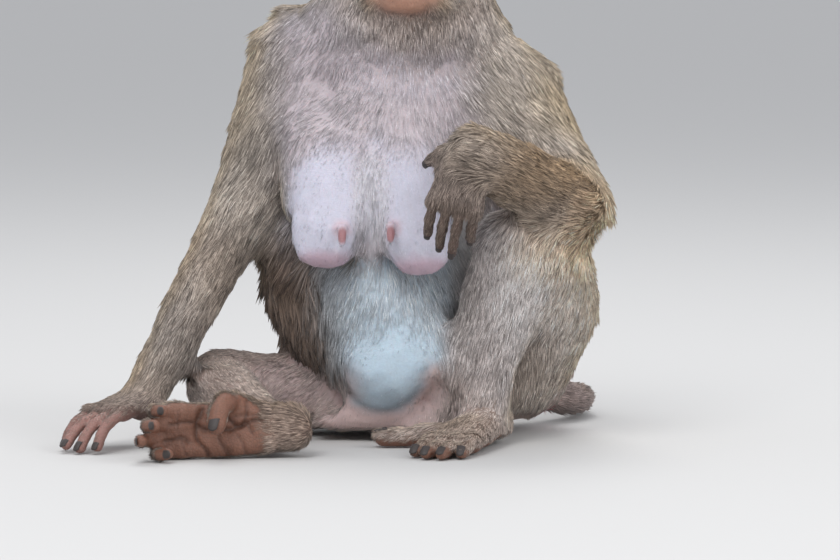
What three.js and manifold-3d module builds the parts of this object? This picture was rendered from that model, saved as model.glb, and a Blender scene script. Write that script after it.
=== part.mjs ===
// A life-size still model of a seated adult female macaque, in millimetres, +Z up.
// She faces -Y, so her left side is towards +X. One leg lies folded flat, the other knee is raised
// and carries a forearm, and the far hand and the tail lie on the floor.
import * as THREE from "three";
import { mergeVertices } from "three/addons/utils/BufferGeometryUtils.js";
import Module from "manifold-3d";

const wasm = await Module();
wasm.setup();

// ---- Driving dimensions ------------------------------------------------------------------------

const GAP = 0.35; // clear space where two parts of the body meet
const FLOOR = 600; // side of the block that trims whatever would lie below the floor

const point = (x, y, z) => new THREE.Vector3(x, y, z);

// Joint centres of the skeleton.
const joints = {
  skull: point(-5, -28, 352),
  left: {
    shoulder: point(65, -8, 246),
    elbow: point(115, -64, 167),
    wrist: point(34, -132, 208),
    hip: point(60, 20, 50),
    knee: point(82, -74, 148),
    ankle: point(46, -52, 24),
  },
  right: {
    shoulder: point(-84, 20, 268),
    elbow: point(-132, -16, 146),
    wrist: point(-192, -54, 31),
    hip: point(-14, 34, 32),
    knee: point(-146, 0, 38),
    ankle: point(-98, -126, 18.5),
  },
};

// Half-widths of the limbs with their coat: at the root, in the belly of the muscle and at the end.
const girth = {
  upperArm: [42, 34, 27],
  forearm: [27, 26, 20],
  thigh: [48, 42, 29],
  shin: [27, 26, 18],
};

// Hands and feet: lengths, half-widths and half-thicknesses, with the fur that lies on their backs.
const hand = { palm: 42, width: 22, thick: 8, fur: 5, finger: 5, spacing: 9.6 };
const fingerLengths = { thumb: 27, others: [37, 43, 41, 33] };
const foot = { sole: 76, heel: 22, width: 19, thick: 9, fur: 5, toe: 5.4, spacing: 9.4 };
const toeLengths = [33, 40, 39, 32];
const eye = { radius: 9.2, apart: 29, forward: 32.5, up: 3 };
const ear = { high: 19, wide: 14, thick: 4.5, rim: 4, apart: 102, turn: 0.7 };

// ---- Solid modelling ---------------------------------------------------------------------------

// Turns a closed three.js geometry into a solid.
function solidOf(geometry) {
  const bare = geometry.clone();
  bare.deleteAttribute("normal");
  bare.deleteAttribute("uv");
  const merged = mergeVertices(bare, 1e-4);
  const corners = [];
  for (let i = 0; i < merged.index.count; i += 3) {
    const [a, b, c] = [0, 1, 2].map((k) => merged.index.getX(i + k));
    if (a !== b && b !== c && c !== a) corners.push(a, b, c);
  }
  const vertProperties = new Float32Array(merged.attributes.position.array);
  const triVerts = new Uint32Array(corners);
  return new wasm.Manifold(new wasm.Mesh({ numProp: 3, vertProperties, triVerts }));
}

// Turns a solid back into a three.js geometry.
function geometryOf(solid) {
  const mesh = solid.getMesh();
  return new THREE.BufferGeometry()
    .setAttribute("position", new THREE.BufferAttribute(mesh.vertProperties, 3))
    .setIndex(new THREE.BufferAttribute(mesh.triVerts, 1));
}

const joined = (solids) => solids.reduce((whole, piece) => whole.add(piece));

// The biggest connected body of a solid, without the crumbs that a cut can leave.
function mainBody(solid) {
  const bodies = solid.decompose();
  return bodies.sort((a, b) => b.volume() - a.volume())[0];
}

// A closed tube with round ends along a smooth path. Each station is [place, side, front, back]:
// where the path runs, and how far the surface stands from it to either side, to the front and to
// the back. options.side is the direction of the side, options.caps how far each end bulges,
// options.square how boxy the section is (2 is an ellipse), and options.grow how much fatter the
// whole is made.
function limb(stations, options = {}) {
  const { side = point(1, 0, 0), around = 14, along = 6, capRows = 3, grow = 0, square = 2 } = options;
  const [first, last] = [stations[0], stations[stations.length - 1]];
  const caps = options.caps ?? [first[1], last[1]];
  const path = new THREE.CatmullRomCurve3(stations.map((s) => s[0]));
  const sizes = new THREE.CatmullRomCurve3(
    stations.map(([, s, f = s, b = f]) => point(s, f, b)),
    false,
    "catmullrom",
  );
  const geometry = new THREE.CapsuleGeometry(1, 1, capRows, around, along);
  const spots = geometry.attributes.position;
  for (let i = 0; i < spots.count; i++) {
    const [x, y, z] = [spots.getX(i), spots.getY(i), spots.getZ(i)];
    const share = THREE.MathUtils.clamp(y + 0.5, 0, 1);
    const beyond = y < -0.5 ? (y + 0.5) * (caps[0] + grow) : y > 0.5 ? (y - 0.5) * (caps[1] + grow) : 0;
    const tangent = path.getTangent(share);
    const front = side.clone().cross(tangent).normalize();
    const across = tangent.clone().cross(front).normalize();
    const size = sizes.getPoint(share);
    const ring = Math.hypot(x, z);
    const [cos, sin] = ring > 0 ? [x / ring, z / ring] : [1, 0];
    const swell = ring / (Math.abs(cos) ** square + Math.abs(sin) ** square) ** (1 / square);
    const depth = sin > 0 ? size.y : size.z;
    const spot = path
      .getPoint(share)
      .addScaledVector(tangent, beyond)
      .addScaledVector(across, cos * swell * (size.x + grow))
      .addScaledVector(front, sin * swell * (depth + grow));
    spots.setXYZ(i, spot.x, spot.y, spot.z);
  }
  return geometry;
}

// An egg-shaped lump: centre, half-sizes, and an optional turn about the upright axis.
function lump(centre, half, options = {}) {
  const { grow = 0, around = 11, rows = 7, yaw = 0 } = options;
  return new THREE.SphereGeometry(1, around, rows)
    .scale(half.x + grow, half.y + grow, half.z + grow)
    .rotateZ(yaw)
    .translate(centre.x, centre.y, centre.z);
}

// The frame of a hand or foot: distal points along the digits, dorsal out of its back.
function frameAt(origin, distal, dorsal) {
  const y = distal.clone().normalize();
  const x = y.clone().cross(dorsal).normalize();
  const z = x.clone().cross(y);
  return new THREE.Matrix4().makeBasis(x, y, z).setPosition(origin);
}

// A finger or toe of three phalanges, as stations in the frame of its hand or foot. It starts
// heading away from the wrist, turned by splay in the plane of the palm, and each phalanx bends by
// its share of curl towards the palm.
function digit(root, length, radius, splay, curl) {
  const phalanges = [0.42, 0.32, 0.26];
  const stations = [[root, radius * 1.04]];
  let spot = root;
  let bend = 0;
  phalanges.forEach((share, i) => {
    bend += curl[i];
    const reach = share * length;
    const flat = Math.cos(bend);
    const heading = point(Math.sin(splay) * flat, Math.cos(splay) * flat, -Math.sin(bend));
    spot = spot.clone().addScaledVector(heading, reach);
    stations.push([spot, radius * (0.98 - 0.07 * i)]);
  });
  return stations;
}

// ---- The parts of the body ---------------------------------------------------------------------
// Each takes how much it is grown by, and returns its solid.

function trunk(grow) {
  const torso = limb(
    [
      [point(10, 32, 32), 90, 70, 62],
      [point(-6, 36, 74), 98, 76, 66],
      [point(-12, 34, 112), 93, 74, 68],
      [point(-13, 27, 150), 84, 66, 69],
      [point(-12, 18, 190), 79, 60, 68],
      [point(-9, 10, 230), 80, 50, 65],
      [point(-8, 6, 268), 74, 38, 56],
    ],
    { side: point(0.95, -0.3, 0), around: 16, along: 6, capRows: 2, caps: [37, 32], grow },
  );
  const belly = lump(point(-26, -34, 78), point(52, 48, 62), { grow, yaw: -0.3, around: 12, rows: 7 });
  const flank = lump(point(-66, 8, 112), point(52, 50, 60), { grow });
  const chest = lump(point(-14, -28, 214), point(58, 30, 50), { grow, yaw: -0.2 });
  const shoulderBlades = lump(point(-12, 20, 248), point(86, 50, 62), { grow, around: 12 });
  const rump = lump(point(62, 46, 54), point(62, 52, 60), { grow, around: 12 });
  return joined([torso, belly, flank, chest, shoulderBlades, rump].map(solidOf));
}

// A hanging breast with its long nipple.
function breast(side) {
  const shape = {
    right: {
      root: point(-46, -50, 204),
      middle: point(-61, -70, 170),
      low: point(-65, -77, 146),
      teat: point(-53, -97, 149),
    },
    left: {
      root: point(-14, -58, 204),
      middle: point(-5, -78, 168),
      low: point(0, -84, 142),
      teat: point(-20, -99, 151),
    },
  }[side];
  return (grow) => {
    const hang = limb(
      [
        [shape.root, 20, 14, 14],
        [shape.middle, 27, 22, 18],
        [shape.low, 28, 24, 20],
      ],
      { side: point(1, -0.2, 0), around: 11, along: 3, capRows: 2, caps: [12, 27], grow },
    );
    const tip = shape.teat.clone().add(point(0, -7, -9));
    const teat = limb([[shape.teat, 4], [tip, 3.2]], { around: 6, along: 1, capRows: 2, grow });
    return joined([hang, teat].map(solidOf));
  };
}

function neck(grow) {
  const column = limb(
    [
      [point(-10, 4, 262), 80, 48, 46],
      [point(-9, -8, 290), 82, 46, 50],
      [point(-6, -16, 318), 64, 42, 50],
    ],
    { around: 12, along: 3, capRows: 2, caps: [20, 26], grow },
  );
  const throatRuff = lump(point(-8, -46, 286), point(42, 26, 34), { grow, around: 10, rows: 6 });
  return joined([column, throatRuff].map(solidOf));
}

// The head's own frame: its origin in the middle of the skull, turned a little to her right.
const headFrame = new THREE.Matrix4().makeRotationZ(-0.12).setPosition(joints.skull);
const inHead = (geometry) => geometry.applyMatrix4(headFrame);

function head(grow) {
  const cranium = lump(point(0, 10, 12), point(46, 51, 41), { grow, around: 14, rows: 8 });
  const browRidge = limb(
    [
      [point(-29, -31, 14), 6],
      [point(-14, -40, 18), 7.5],
      [point(0, -41, 17), 6.5],
      [point(14, -40, 18), 7.5],
      [point(29, -31, 14), 6],
    ],
    { side: point(0, 0, 1), around: 6, along: 6, capRows: 2, grow },
  );
  const face = lump(point(0, -14, -6), point(35, 27, 34), { grow, around: 10 });
  const upperJaw = lump(point(0, -24, -24), point(31, 22, 24), { grow, around: 10, rows: 6 });
  const muzzle = limb(
    [
      [point(0, -20, -18), 25, 21, 24],
      [point(0, -42, -24), 21.5, 17.5, 20],
      [point(0, -61, -29), 18, 14.5, 17],
    ],
    { side: point(-1, 0, 0), around: 10, along: 3, capRows: 2, caps: [10, 13], square: 2.4, grow },
  );
  const chin = limb(
    [
      [point(0, -20, -42), 27, 12, 12],
      [point(0, -57, -44), 15, 9, 11],
    ],
    { side: point(-1, 0, 0), around: 10, along: 2, capRows: 2, caps: [12, 11], grow },
  );
  const nose = limb(
    [
      [point(0, -38, 4), 6, 5],
      [point(0, -54, -8), 7, 5],
      [point(0, -66, -15), 9, 6],
    ],
    { side: point(-1, 0, 0), around: 6, along: 2, capRows: 2, caps: [5, 6], grow },
  );
  const sides = [-1, 1].flatMap((s) => [
    lump(point(s * 24, -18, -10), point(18, 21, 17), { grow, around: 9, rows: 6 }),
    lump(point(s * 35, 4, -20), point(23, 34, 34), { grow, around: 10 }),
  ]);
  const beard = lump(point(0, -20, -42), point(38, 36, 19), { grow, rows: 6 });
  const lumps = [cranium, browRidge, face, upperJaw, muzzle, chin, nose, beard, ...sides];
  const solid = joined(lumps.map((geometry) => solidOf(inHead(geometry))));
  return ["left", "right"].reduce((rest, s) => rest.subtract(eyeball(s)(GAP)), solid);
}

function eyeball(side) {
  const s = side === "left" ? 1 : -1;
  const centre = point((s * eye.apart) / 2, -eye.forward, eye.up);
  const r = eye.radius;
  return (grow) => solidOf(inHead(lump(centre, point(r, r, r), { grow, around: 10, rows: 6 })));
}

// A thin cupped ear that stands out from the side of the head.
function earShell(side) {
  const s = side === "left" ? 1 : -1;
  const turn = new THREE.Matrix4().makeRotationZ(s * ear.turn).setPosition((s * ear.apart) / 2, 14, 2);
  return (grow) => {
    const shell = lump(point(s * 3, 0, 0), point(ear.wide, ear.thick, ear.high), { grow, rows: 6 });
    const hollow = point(ear.wide - ear.rim, ear.thick, ear.high - ear.rim - 1);
    const cup = lump(point(s * 4, -5.2, 1), hollow, { around: 8, rows: 6 });
    const place = (g) => solidOf(inHead(g.applyMatrix4(turn)));
    return place(shell).subtract(place(cup));
  };
}

function upperArm(side) {
  const { shoulder, elbow } = joints[side];
  const [root, belly, end] = girth.upperArm;
  const top = { left: 34, right: 42 }[side]; // the propped shoulder is pushed up
  const middle = shoulder.clone().lerp(elbow, 0.5);
  return (grow) =>
    solidOf(
      limb(
        [
          [shoulder, root, root, root - 2],
          [middle, belly, belly, belly],
          [elbow, end, end, end + 2],
        ],
        { side: point(0, 1, 0), around: 12, along: 4, capRows: 2, caps: [top, 24], grow },
      ),
    );
}

function forearm(side) {
  const { elbow, wrist } = joints[side];
  const [root, belly, end] = girth.forearm;
  const hair = { left: 4, right: 0 }[side]; // on the wrist that hangs the hair stands off
  const thick = elbow.clone().lerp(wrist, 0.3);
  const narrow = elbow.clone().lerp(wrist, 0.75);
  return (grow) =>
    solidOf(
      limb(
        [
          [elbow, root],
          [thick, belly],
          [narrow, end + 2 + hair],
          [wrist, end + hair],
        ],
        { side: point(0, 1, 0), around: 12, along: 5, capRows: 2, caps: [18, 12 + hair], grow },
      ),
    );
}

// How each hand lies: the way its fingers and its back face, and how each digit bends.
const handPose = {
  left: {
    distal: point(-0.27, -0.08, -0.96),
    dorsal: point(-0.1, -0.98, 0.1),
    curl: [0.45, 0.45, 0.3],
    thumbSplay: 0.3,
  },
  right: {
    distal: point(-0.6, -0.78, -0.16),
    dorsal: point(-0.1, -0.05, 1),
    curl: [0.15, 0.3, 0.3],
    thumbSplay: 0.7,
  },
};

function handOf(side) {
  const s = side === "left" ? 1 : -1; // the thumb's side of the hand
  const pose = handPose[side];
  const frame = frameAt(joints[side].wrist, pose.distal, pose.dorsal);
  const { palm, width, thick, fur, finger, spacing } = hand;
  const across = point(1, 0, 0);
  return (grow) => {
    const body = limb(
      [
        [point(0, 2, 0), width, thick + fur, thick],
        [point(0, palm * 0.5, 0), width + 1, thick + fur * 0.6, thick],
        [point(0, palm, 0), width - 2, thick, thick - 1],
      ],
      { side: across, around: 9, along: 3, capRows: 2, caps: [9, 5], square: 2.3, grow },
    );
    const digits = fingerLengths.others.map((length, i) => {
      const spread = 1.5 - i; // index to little finger, across the palm
      const root = point(s * spread * spacing, palm - 2 - Math.abs(spread), 0);
      return digit(root, length, finger, s * spread * 0.07, pose.curl);
    });
    const thumbRoot = point(s * (width - 2), palm * 0.12, -2);
    const thumb = digit(thumbRoot, fingerLengths.thumb, finger + 0.4, s * pose.thumbSplay, [0.1, 0.15, 0.15]);
    const fingers = [...digits, thumb].map((stations) =>
      limb(stations, { side: across, around: 6, along: 3, capRows: 2, grow }),
    );
    return joined([body, ...fingers].map((g) => solidOf(g.applyMatrix4(frame))));
  };
}

function thigh(side) {
  const { hip, knee } = joints[side];
  const [root, belly, end] = girth.thigh;
  const bulge = { left: point(20, 10, 2), right: point(0, 2, -6.5) }[side];
  const flat = side === "right" ? 0.68 : 1; // the thigh that lies on the floor is spread by its weight
  const middle = hip.clone().lerp(knee, 0.45).add(bulge);
  return (grow) =>
    solidOf(
      limb(
        [
          [hip, root, root * flat],
          [middle, belly, belly * flat],
          [knee, end],
        ],
        { side: point(0, 1, 0), around: 12, along: 4, capRows: 2, caps: [30, 22], grow },
      ),
    );
}

function shin(side) {
  const { knee, ankle } = joints[side];
  const [root, belly, end] = girth.shin;
  const calf = { left: point(-12, 8, 0), right: point(-2, 2, 2) }[side];
  const broad = { left: [9, 8, 6, 3], right: [0, 0, 0, 0] }[side]; // the drawn-up shin is seen broad
  const inward = point(-broad[0], 0, 0);
  return (grow) =>
    solidOf(
      limb(
        [
          [knee.clone().lerp(ankle, 0.06).add(inward), root, root + broad[0]],
          [knee.clone().lerp(ankle, 0.38).add(calf), belly, belly + broad[1]],
          [knee.clone().lerp(ankle, 0.78).add(inward), end + 2, end + 2 + broad[2]],
          [ankle, end, end + broad[3]],
        ],
        { side: point(0, 1, 0), around: 12, along: 5, capRows: 2, caps: [22, 13], grow },
      ),
    );
}

// How each foot lies, as for the hands.
const footPose = {
  left: {
    distal: point(-0.34, -0.94, -0.04),
    dorsal: point(0, 0, 1),
    curl: [0.05, 0.3, 0.35],
    bigCurl: [0.05, 0.15, 0.1],
    bigSplay: 1.1,
    bigLength: 54,
    fan: 0.05,
  },
  right: {
    distal: point(-1, -0.12, -0.02),
    dorsal: point(-0.12, 0.98, -0.1),
    curl: [0.8, 0.95, 0.6],
    bigCurl: [1.0, 0.3, 0.1],
    bigSplay: 0.6,
    bigLength: 48,
    fan: 0.04,
  },
};

function footOf(side) {
  const s = side === "left" ? 1 : -1; // the big toe's side of the foot
  const pose = footPose[side];
  const frame = frameAt(joints[side].ankle, pose.distal, pose.dorsal);
  const { sole, heel, width, thick, fur, toe, spacing } = foot;
  const across = point(1, 0, 0);
  const drop = -11; // the sole's middle lies this far below the ankle's centre
  return (grow) => {
    const body = limb(
      [
        [point(0, -heel * 0.6, drop + 1), width - 4, thick + fur, thick + 2],
        [point(0, sole * 0.3, drop), width - 1, thick + fur + 2, thick + 1],
        [point(0, sole * 0.72, drop - 1), width, thick + fur * 0.6, thick],
        [point(0, sole, drop - 2), width, thick - 0.5, thick - 1],
      ],
      { side: across, around: 9, along: 4, capRows: 2, caps: [12, 5], square: 2.3, grow },
    );
    const digits = toeLengths.map((length, i) => {
      const spread = 1.5 - i; // second to fifth toe, across the sole
      const root = point(s * spread * spacing, sole - 2 - Math.abs(spread) * 2, drop - 2);
      return digit(root, length, toe, s * spread * pose.fan, pose.curl);
    });
    const bigRoot = point(s * (width - 7), sole * 0.3, drop - 1);
    const bigToe = digit(bigRoot, pose.bigLength, toe + 2.2, s * pose.bigSplay, pose.bigCurl);
    const toes = [...digits, bigToe].map((stations) =>
      limb(stations, { side: across, around: 6, along: 3, capRows: 2, grow }),
    );
    return joined([body, ...toes].map((g) => solidOf(g.applyMatrix4(frame))));
  };
}

// The tail leaves the rump behind her left hip and trails back over the floor, in two lengths.
// Its first stations are lifted off the floor, and the rest press a little into it.
const tailRoute = [
  [72, 80],
  [102, 106],
  [118, 142],
  [112, 182],
  [88, 216],
  [56, 238],
];
const tailGirth = { root: 19, tip: 8.5, lift: [15, 2], rest: 0.8 };

function tail(from, to) {
  const last = tailRoute.length - 1;
  const girthAt = (i) => THREE.MathUtils.lerp(tailGirth.root, tailGirth.tip, (i / last) ** 0.7);
  const stations = tailRoute.slice(from, to + 1).map(([x, y], k) => {
    const i = from + k;
    const girth = girthAt(i);
    const lift = tailGirth.lift[i] ?? -tailGirth.rest;
    return [point(x, y, girth + lift), girth];
  });
  return (grow) =>
    solidOf(limb(stations, { side: point(0, 0, 1), around: 8, along: 5, capRows: 2, caps: [6, 10], grow }));
}

// ---- Putting the body together -----------------------------------------------------------------

const colours = {
  coat: 0x8f7f6b,
  paleCoat: 0xb9ada3,
  bareSkin: 0xc9a99c,
  dark: 0x5a4238,
  iris: 0x6b4020,
};
const finish = (color, roughness) =>
  new THREE.MeshStandardMaterial({ color, roughness, metalness: 0 });
const coat = finish(colours.coat, 0.85);
const paleCoat = finish(colours.paleCoat, 0.8);
const bareSkin = finish(colours.bareSkin, 0.6);
const darkSkin = finish(colours.dark, 0.65);
const wetEye = finish(colours.iris, 0.1);

// In the order in which they are fitted: each part gives way to those before it.
const parts = [
  ["eye_left", eyeball("left"), wetEye],
  ["eye_right", eyeball("right"), wetEye],
  ["trunk", trunk, coat],
  ["head", head, coat],
  ["neck", neck, paleCoat],
  ["ear_left", earShell("left"), bareSkin],
  ["ear_right", earShell("right"), bareSkin],
  ["breast_left", breast("left"), bareSkin],
  ["breast_right", breast("right"), bareSkin],
  ["upper_arm_left", upperArm("left"), coat],
  ["upper_arm_right", upperArm("right"), coat],
  ["thigh_left", thigh("left"), coat],
  ["thigh_right", thigh("right"), coat],
  ["shin_left", shin("left"), coat],
  ["shin_right", shin("right"), coat],
  ["forearm_left", forearm("left"), coat],
  ["forearm_right", forearm("right"), coat],
  ["foot_left", footOf("left"), darkSkin],
  ["foot_right", footOf("right"), darkSkin],
  ["hand_left", handOf("left"), darkSkin],
  ["hand_right", handOf("right"), darkSkin],
  ["tail_base", tail(0, 3), coat],
  ["tail_tip", tail(3, 5), coat],
];

const ground = solidOf(new THREE.BoxGeometry(2 * FLOOR, 2 * FLOOR, FLOOR).translate(0, 0, -FLOOR / 2));
const macaque = new THREE.Group();
const earlier = [];
for (const [name, shape, material] of parts) {
  const cut = earlier.reduce((rest, other) => rest.subtract(other), shape(0).subtract(ground));
  const mesh = new THREE.Mesh(geometryOf(mainBody(cut)), material);
  mesh.name = name;
  macaque.add(mesh);
  earlier.push(shape(GAP));
}

// The origin lies on the floor, under the middle of the body's box.
const box = new THREE.Box3().setFromObject(macaque);
const middle = box.getCenter(point(0, 0, 0));
macaque.position.set(-middle.x, -middle.y, -box.min.z);

export default macaque;
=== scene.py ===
"""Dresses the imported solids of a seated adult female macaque.

One closed skin stands for every node of flesh and lies inside the solids by the depth of the coat.
Over it lies the coat: thin closed tufts that follow the lie of the hair, in one piece for each part
of the body. The eyes and the nails are pieces of their own. Lengths are in millimetres in the body's
own frame, the skeleton's, and in metres in every mesh.
"""

import logging
import math
from dataclasses import dataclass
from enum import Enum
from typing import ClassVar, Sequence

import bmesh
import bpy
import numpy as np
from bmesh.types import BMesh, BMLayerItem, BMVert
from bpy.types import Material, Mesh, NodeSocket, Object
from mathutils import Matrix, Vector
from mathutils.bvhtree import BVHTree


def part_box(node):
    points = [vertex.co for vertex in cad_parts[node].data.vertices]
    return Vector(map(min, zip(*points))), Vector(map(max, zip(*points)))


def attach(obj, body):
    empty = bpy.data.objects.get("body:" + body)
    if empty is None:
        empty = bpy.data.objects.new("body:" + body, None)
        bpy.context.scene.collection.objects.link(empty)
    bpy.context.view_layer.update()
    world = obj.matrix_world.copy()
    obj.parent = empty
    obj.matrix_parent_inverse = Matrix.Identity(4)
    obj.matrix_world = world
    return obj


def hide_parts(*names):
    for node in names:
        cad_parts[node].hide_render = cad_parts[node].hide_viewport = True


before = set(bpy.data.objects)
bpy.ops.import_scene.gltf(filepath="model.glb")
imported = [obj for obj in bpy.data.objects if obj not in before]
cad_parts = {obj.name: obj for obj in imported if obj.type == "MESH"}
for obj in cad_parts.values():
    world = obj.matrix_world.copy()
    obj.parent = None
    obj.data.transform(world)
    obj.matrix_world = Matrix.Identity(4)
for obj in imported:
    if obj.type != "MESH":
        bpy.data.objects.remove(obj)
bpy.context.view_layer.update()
MM = 0.001
ROOT = "root"
UNWRAP_PATCH = 0.003
FLOOR_GAP = 0.3 * MM
Array = np.ndarray
Triple = tuple[float, float, float]
log = logging.getLogger("macaque")


# ---- Arrays and meshes --------------------------------------------------------------------------


def ramp(value: Array, low: float, high: float) -> Array:
    """Returns a smooth step from 0 at low to 1 at high, for numbers of any shape."""
    share = np.clip((value - low) / (high - low), 0.0, 1.0)
    return share * share * (3.0 - 2.0 * share)


def bell(value: Array | float, middle: float, width: float) -> Array | float:
    """Returns 1 at the middle, falling off over a width to either side, for numbers of any shape."""
    return np.exp(-(((value - middle) / width) ** 2))


def distance(vectors: Array) -> Array:
    """Returns the length of each vector."""
    return np.linalg.norm(vectors, axis=-1)


def unit(vectors: Array) -> Array:
    """Returns the vectors with a length of 1; one of no length stays as it is."""
    return vectors / np.maximum(np.linalg.norm(vectors, axis=-1, keepdims=True), 1e-12)


def flattened(vectors: Array, normals: Array) -> Array:
    """Returns the unit vectors that the vectors leave in the planes across the normals."""
    return unit(vectors - normals * np.sum(vectors * normals, axis=-1, keepdims=True))


def read(items: bpy.types.bpy_prop_collection, name: str, width: int, kind: type = np.float32) -> Array:
    """Reads one property of every item of a mesh.

    Args:
        items: The mesh's vertices, edges or triangles.
        name: The property.
        width: How many numbers each item holds.
        kind: Their type.

    Returns:
        An array with a row for each item.
    """
    flat = np.empty(len(items) * width, kind)
    items.foreach_get(name, flat)
    return flat.reshape(-1, width)


def ripple(points: Array, wavelength: float, seed: int, waves: int = 5) -> Array:
    """Makes smooth noise from a few plane waves.

    Args:
        points: Places, one in a row.
        wavelength: The usual distance between two crests, in the unit of the points.
        seed: Which noise it is.
        waves: How many waves are added.

    Returns:
        A number for each place, mostly between -1 and 1.
    """
    rng = np.random.default_rng(seed)
    total = np.zeros(len(points), np.float32)
    for _ in range(waves):
        heading = unit(rng.normal(size=3))
        pitch = wavelength * rng.uniform(0.7, 1.5)
        total += np.sin(points @ heading * (2 * math.pi / pitch) + rng.uniform(0, 2 * math.pi))
    return total / math.sqrt(waves)


class Surface:
    """A triangle mesh held as arrays, with the neighbour sums that smoothing needs."""

    def __init__(self, points: Array, triangles: Array) -> None:
        """Keeps the mesh and finds each point's neighbours.

        Args:
            points: The places of the vertices.
            triangles: The three vertices of each face.
        """
        self.points = points.astype(np.float32)
        self.triangles = triangles
        pairs = np.concatenate([triangles[:, [0, 1]], triangles[:, [1, 2]], triangles[:, [2, 0]]])
        pairs = np.unique(np.sort(pairs, axis=1), axis=0)
        ends = np.concatenate([pairs[:, 0], pairs[:, 1]])
        others = np.concatenate([pairs[:, 1], pairs[:, 0]])
        order = np.argsort(ends, kind="stable")
        self.neighbours = others[order]
        counts = np.bincount(ends, minlength=len(points))
        self.starts = np.concatenate([[0], np.cumsum(counts)[:-1]])
        self.counts = counts.astype(np.float32)

    @classmethod
    def of_mesh(cls, mesh: Mesh) -> "Surface":
        """Returns the surface of a mesh."""
        mesh.calc_loop_triangles()
        return cls(read(mesh.vertices, "co", 3), read(mesh.loop_triangles, "vertices", 3, np.int32))

    def smoothed(self, values: Array, rounds: int, share: Array | float = 0.6) -> Array:
        """Smooths values over the surface.

        Args:
            values: A row for each point.
            rounds: How often each point moves towards the mean of its neighbours.
            share: How far it moves each time, for all points or for each.

        Returns:
            The smoothed values.
        """
        flat = values.reshape(len(values), -1).astype(np.float32)
        share = share[:, None] if isinstance(share, np.ndarray) else share
        for _ in range(rounds):
            mean = np.add.reduceat(flat[self.neighbours], self.starts, axis=0) / self.counts[:, None]
            flat = flat + (mean - flat) * share
        return flat.reshape(values.shape)

    def face_normals(self) -> Array:
        """Returns each triangle's normal, as long as twice its area."""
        a, b, c = (self.points[self.triangles[:, k]] for k in range(3))
        return np.cross(b - a, c - a)

    def normals(self) -> Array:
        """Adds up the normals of the triangles round each point.

        Returns:
            The unit normal at each point.
        """
        across = self.face_normals()
        total = np.zeros_like(self.points)
        for axis in range(3):
            for corner in range(3):
                total[:, axis] += np.bincount(
                    self.triangles[:, corner], weights=across[:, axis], minlength=len(self.points)
                )
        return unit(total)


def new_object(name: str, mesh: Mesh) -> Object:
    """Puts a mesh in the scene.

    Args:
        name: The name of its object.
        mesh: The mesh.

    Returns:
        The object.
    """
    obj = bpy.data.objects.new(name, mesh)
    bpy.context.scene.collection.objects.link(obj)
    return obj


def finished(name: str, bm: BMesh) -> Object:
    """Turns a bmesh into a smooth-shaded object with its normals outwards, and frees the bmesh.

    Args:
        name: The object's name.
        bm: The bmesh.

    Returns:
        The object.
    """
    bmesh.ops.recalc_face_normals(bm, faces=bm.faces)
    mesh = bpy.data.meshes.new(name)
    bm.to_mesh(mesh)
    bm.free()
    mesh.shade_smooth()
    return new_object(name, mesh)


def applied(obj: Object) -> Object:
    """Replaces an object's mesh by what its modifiers make of it, and takes the modifiers off.

    Args:
        obj: The object.

    Returns:
        The same object.
    """
    graph = bpy.context.evaluated_depsgraph_get()
    mesh = bpy.data.meshes.new_from_object(obj.evaluated_get(graph))
    obj.modifiers.clear()
    obj.data = mesh
    return obj


# ---- The body's own frame -----------------------------------------------------------------------


class Side(Enum):
    """Her own left and right."""

    LEFT = "left"
    RIGHT = "right"

    @property
    def sign(self) -> int:
        """Returns 1 for her left, which is +X, and -1 for her right."""
        return 1 if self is Side.LEFT else -1


@dataclass(frozen=True)
class Skeleton:
    """The joint centres of the solids, in millimetres, before the body is centred on the floor."""

    skull: Triple = (-5, -28, 352)
    head_turn: float = -0.12
    eye_apart: float = 29
    eye_forward: float = 32.5
    eye_up: float = 3
    joints: ClassVar[dict[str, dict[Side, Triple]]] = {
        "shoulder": {Side.LEFT: (65, -8, 246), Side.RIGHT: (-84, 20, 268)},
        "elbow": {Side.LEFT: (115, -64, 167), Side.RIGHT: (-132, -16, 146)},
        "wrist": {Side.LEFT: (34, -132, 208), Side.RIGHT: (-192, -54, 31)},
        "hip": {Side.LEFT: (60, 20, 50), Side.RIGHT: (-14, 34, 32)},
        "knee": {Side.LEFT: (82, -74, 148), Side.RIGHT: (-146, 0, 38)},
        "ankle": {Side.LEFT: (46, -52, 24), Side.RIGHT: (-98, -126, 18.5)},
    }

    def joint(self, name: str, side: Side) -> Array:
        """Returns a joint's centre."""
        return np.array(self.joints[name][side], float)

    def eye(self, side: Side) -> Vector:
        """Returns the middle of an eye in the head's frame."""
        return Vector((side.sign * self.eye_apart / 2, -self.eye_forward, self.eye_up))

    def head(self) -> Matrix:
        """Returns the head's frame: its origin in the middle of the skull, the face towards -Y."""
        return Matrix.Translation(self.skull) @ Matrix.Rotation(self.head_turn, 4, "Z")

    def offset(self) -> Array:
        """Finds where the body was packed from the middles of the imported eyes.

        Returns:
            The way from a place of the skeleton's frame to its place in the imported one, in metres.
        """
        packed = [sum((np.array(c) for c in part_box(f"eye_{side.value}")), np.zeros(3)) / 2 for side in Side]
        own = [np.array(self.head() @ self.eye(side)) * MM for side in Side]
        shift = (packed[0] + packed[1] - own[0] - own[1]) / 2
        shift[2] = 0.0
        return shift


BONES = Skeleton()
EYE_RADIUS = 8.8
OFFSET = BONES.offset()


def placed(points: Array) -> Array:
    """Takes places from millimetres in the skeleton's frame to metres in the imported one."""
    return np.asarray(points, float) * MM + OFFSET


def to_body(points: Array) -> Array:
    """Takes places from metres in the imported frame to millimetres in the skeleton's."""
    return (points - OFFSET) / MM


PACKED = Matrix.Translation(Vector(OFFSET)) @ Matrix.Scale(MM, 4)


# ---- Hands and feet -----------------------------------------------------------------------------


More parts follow.
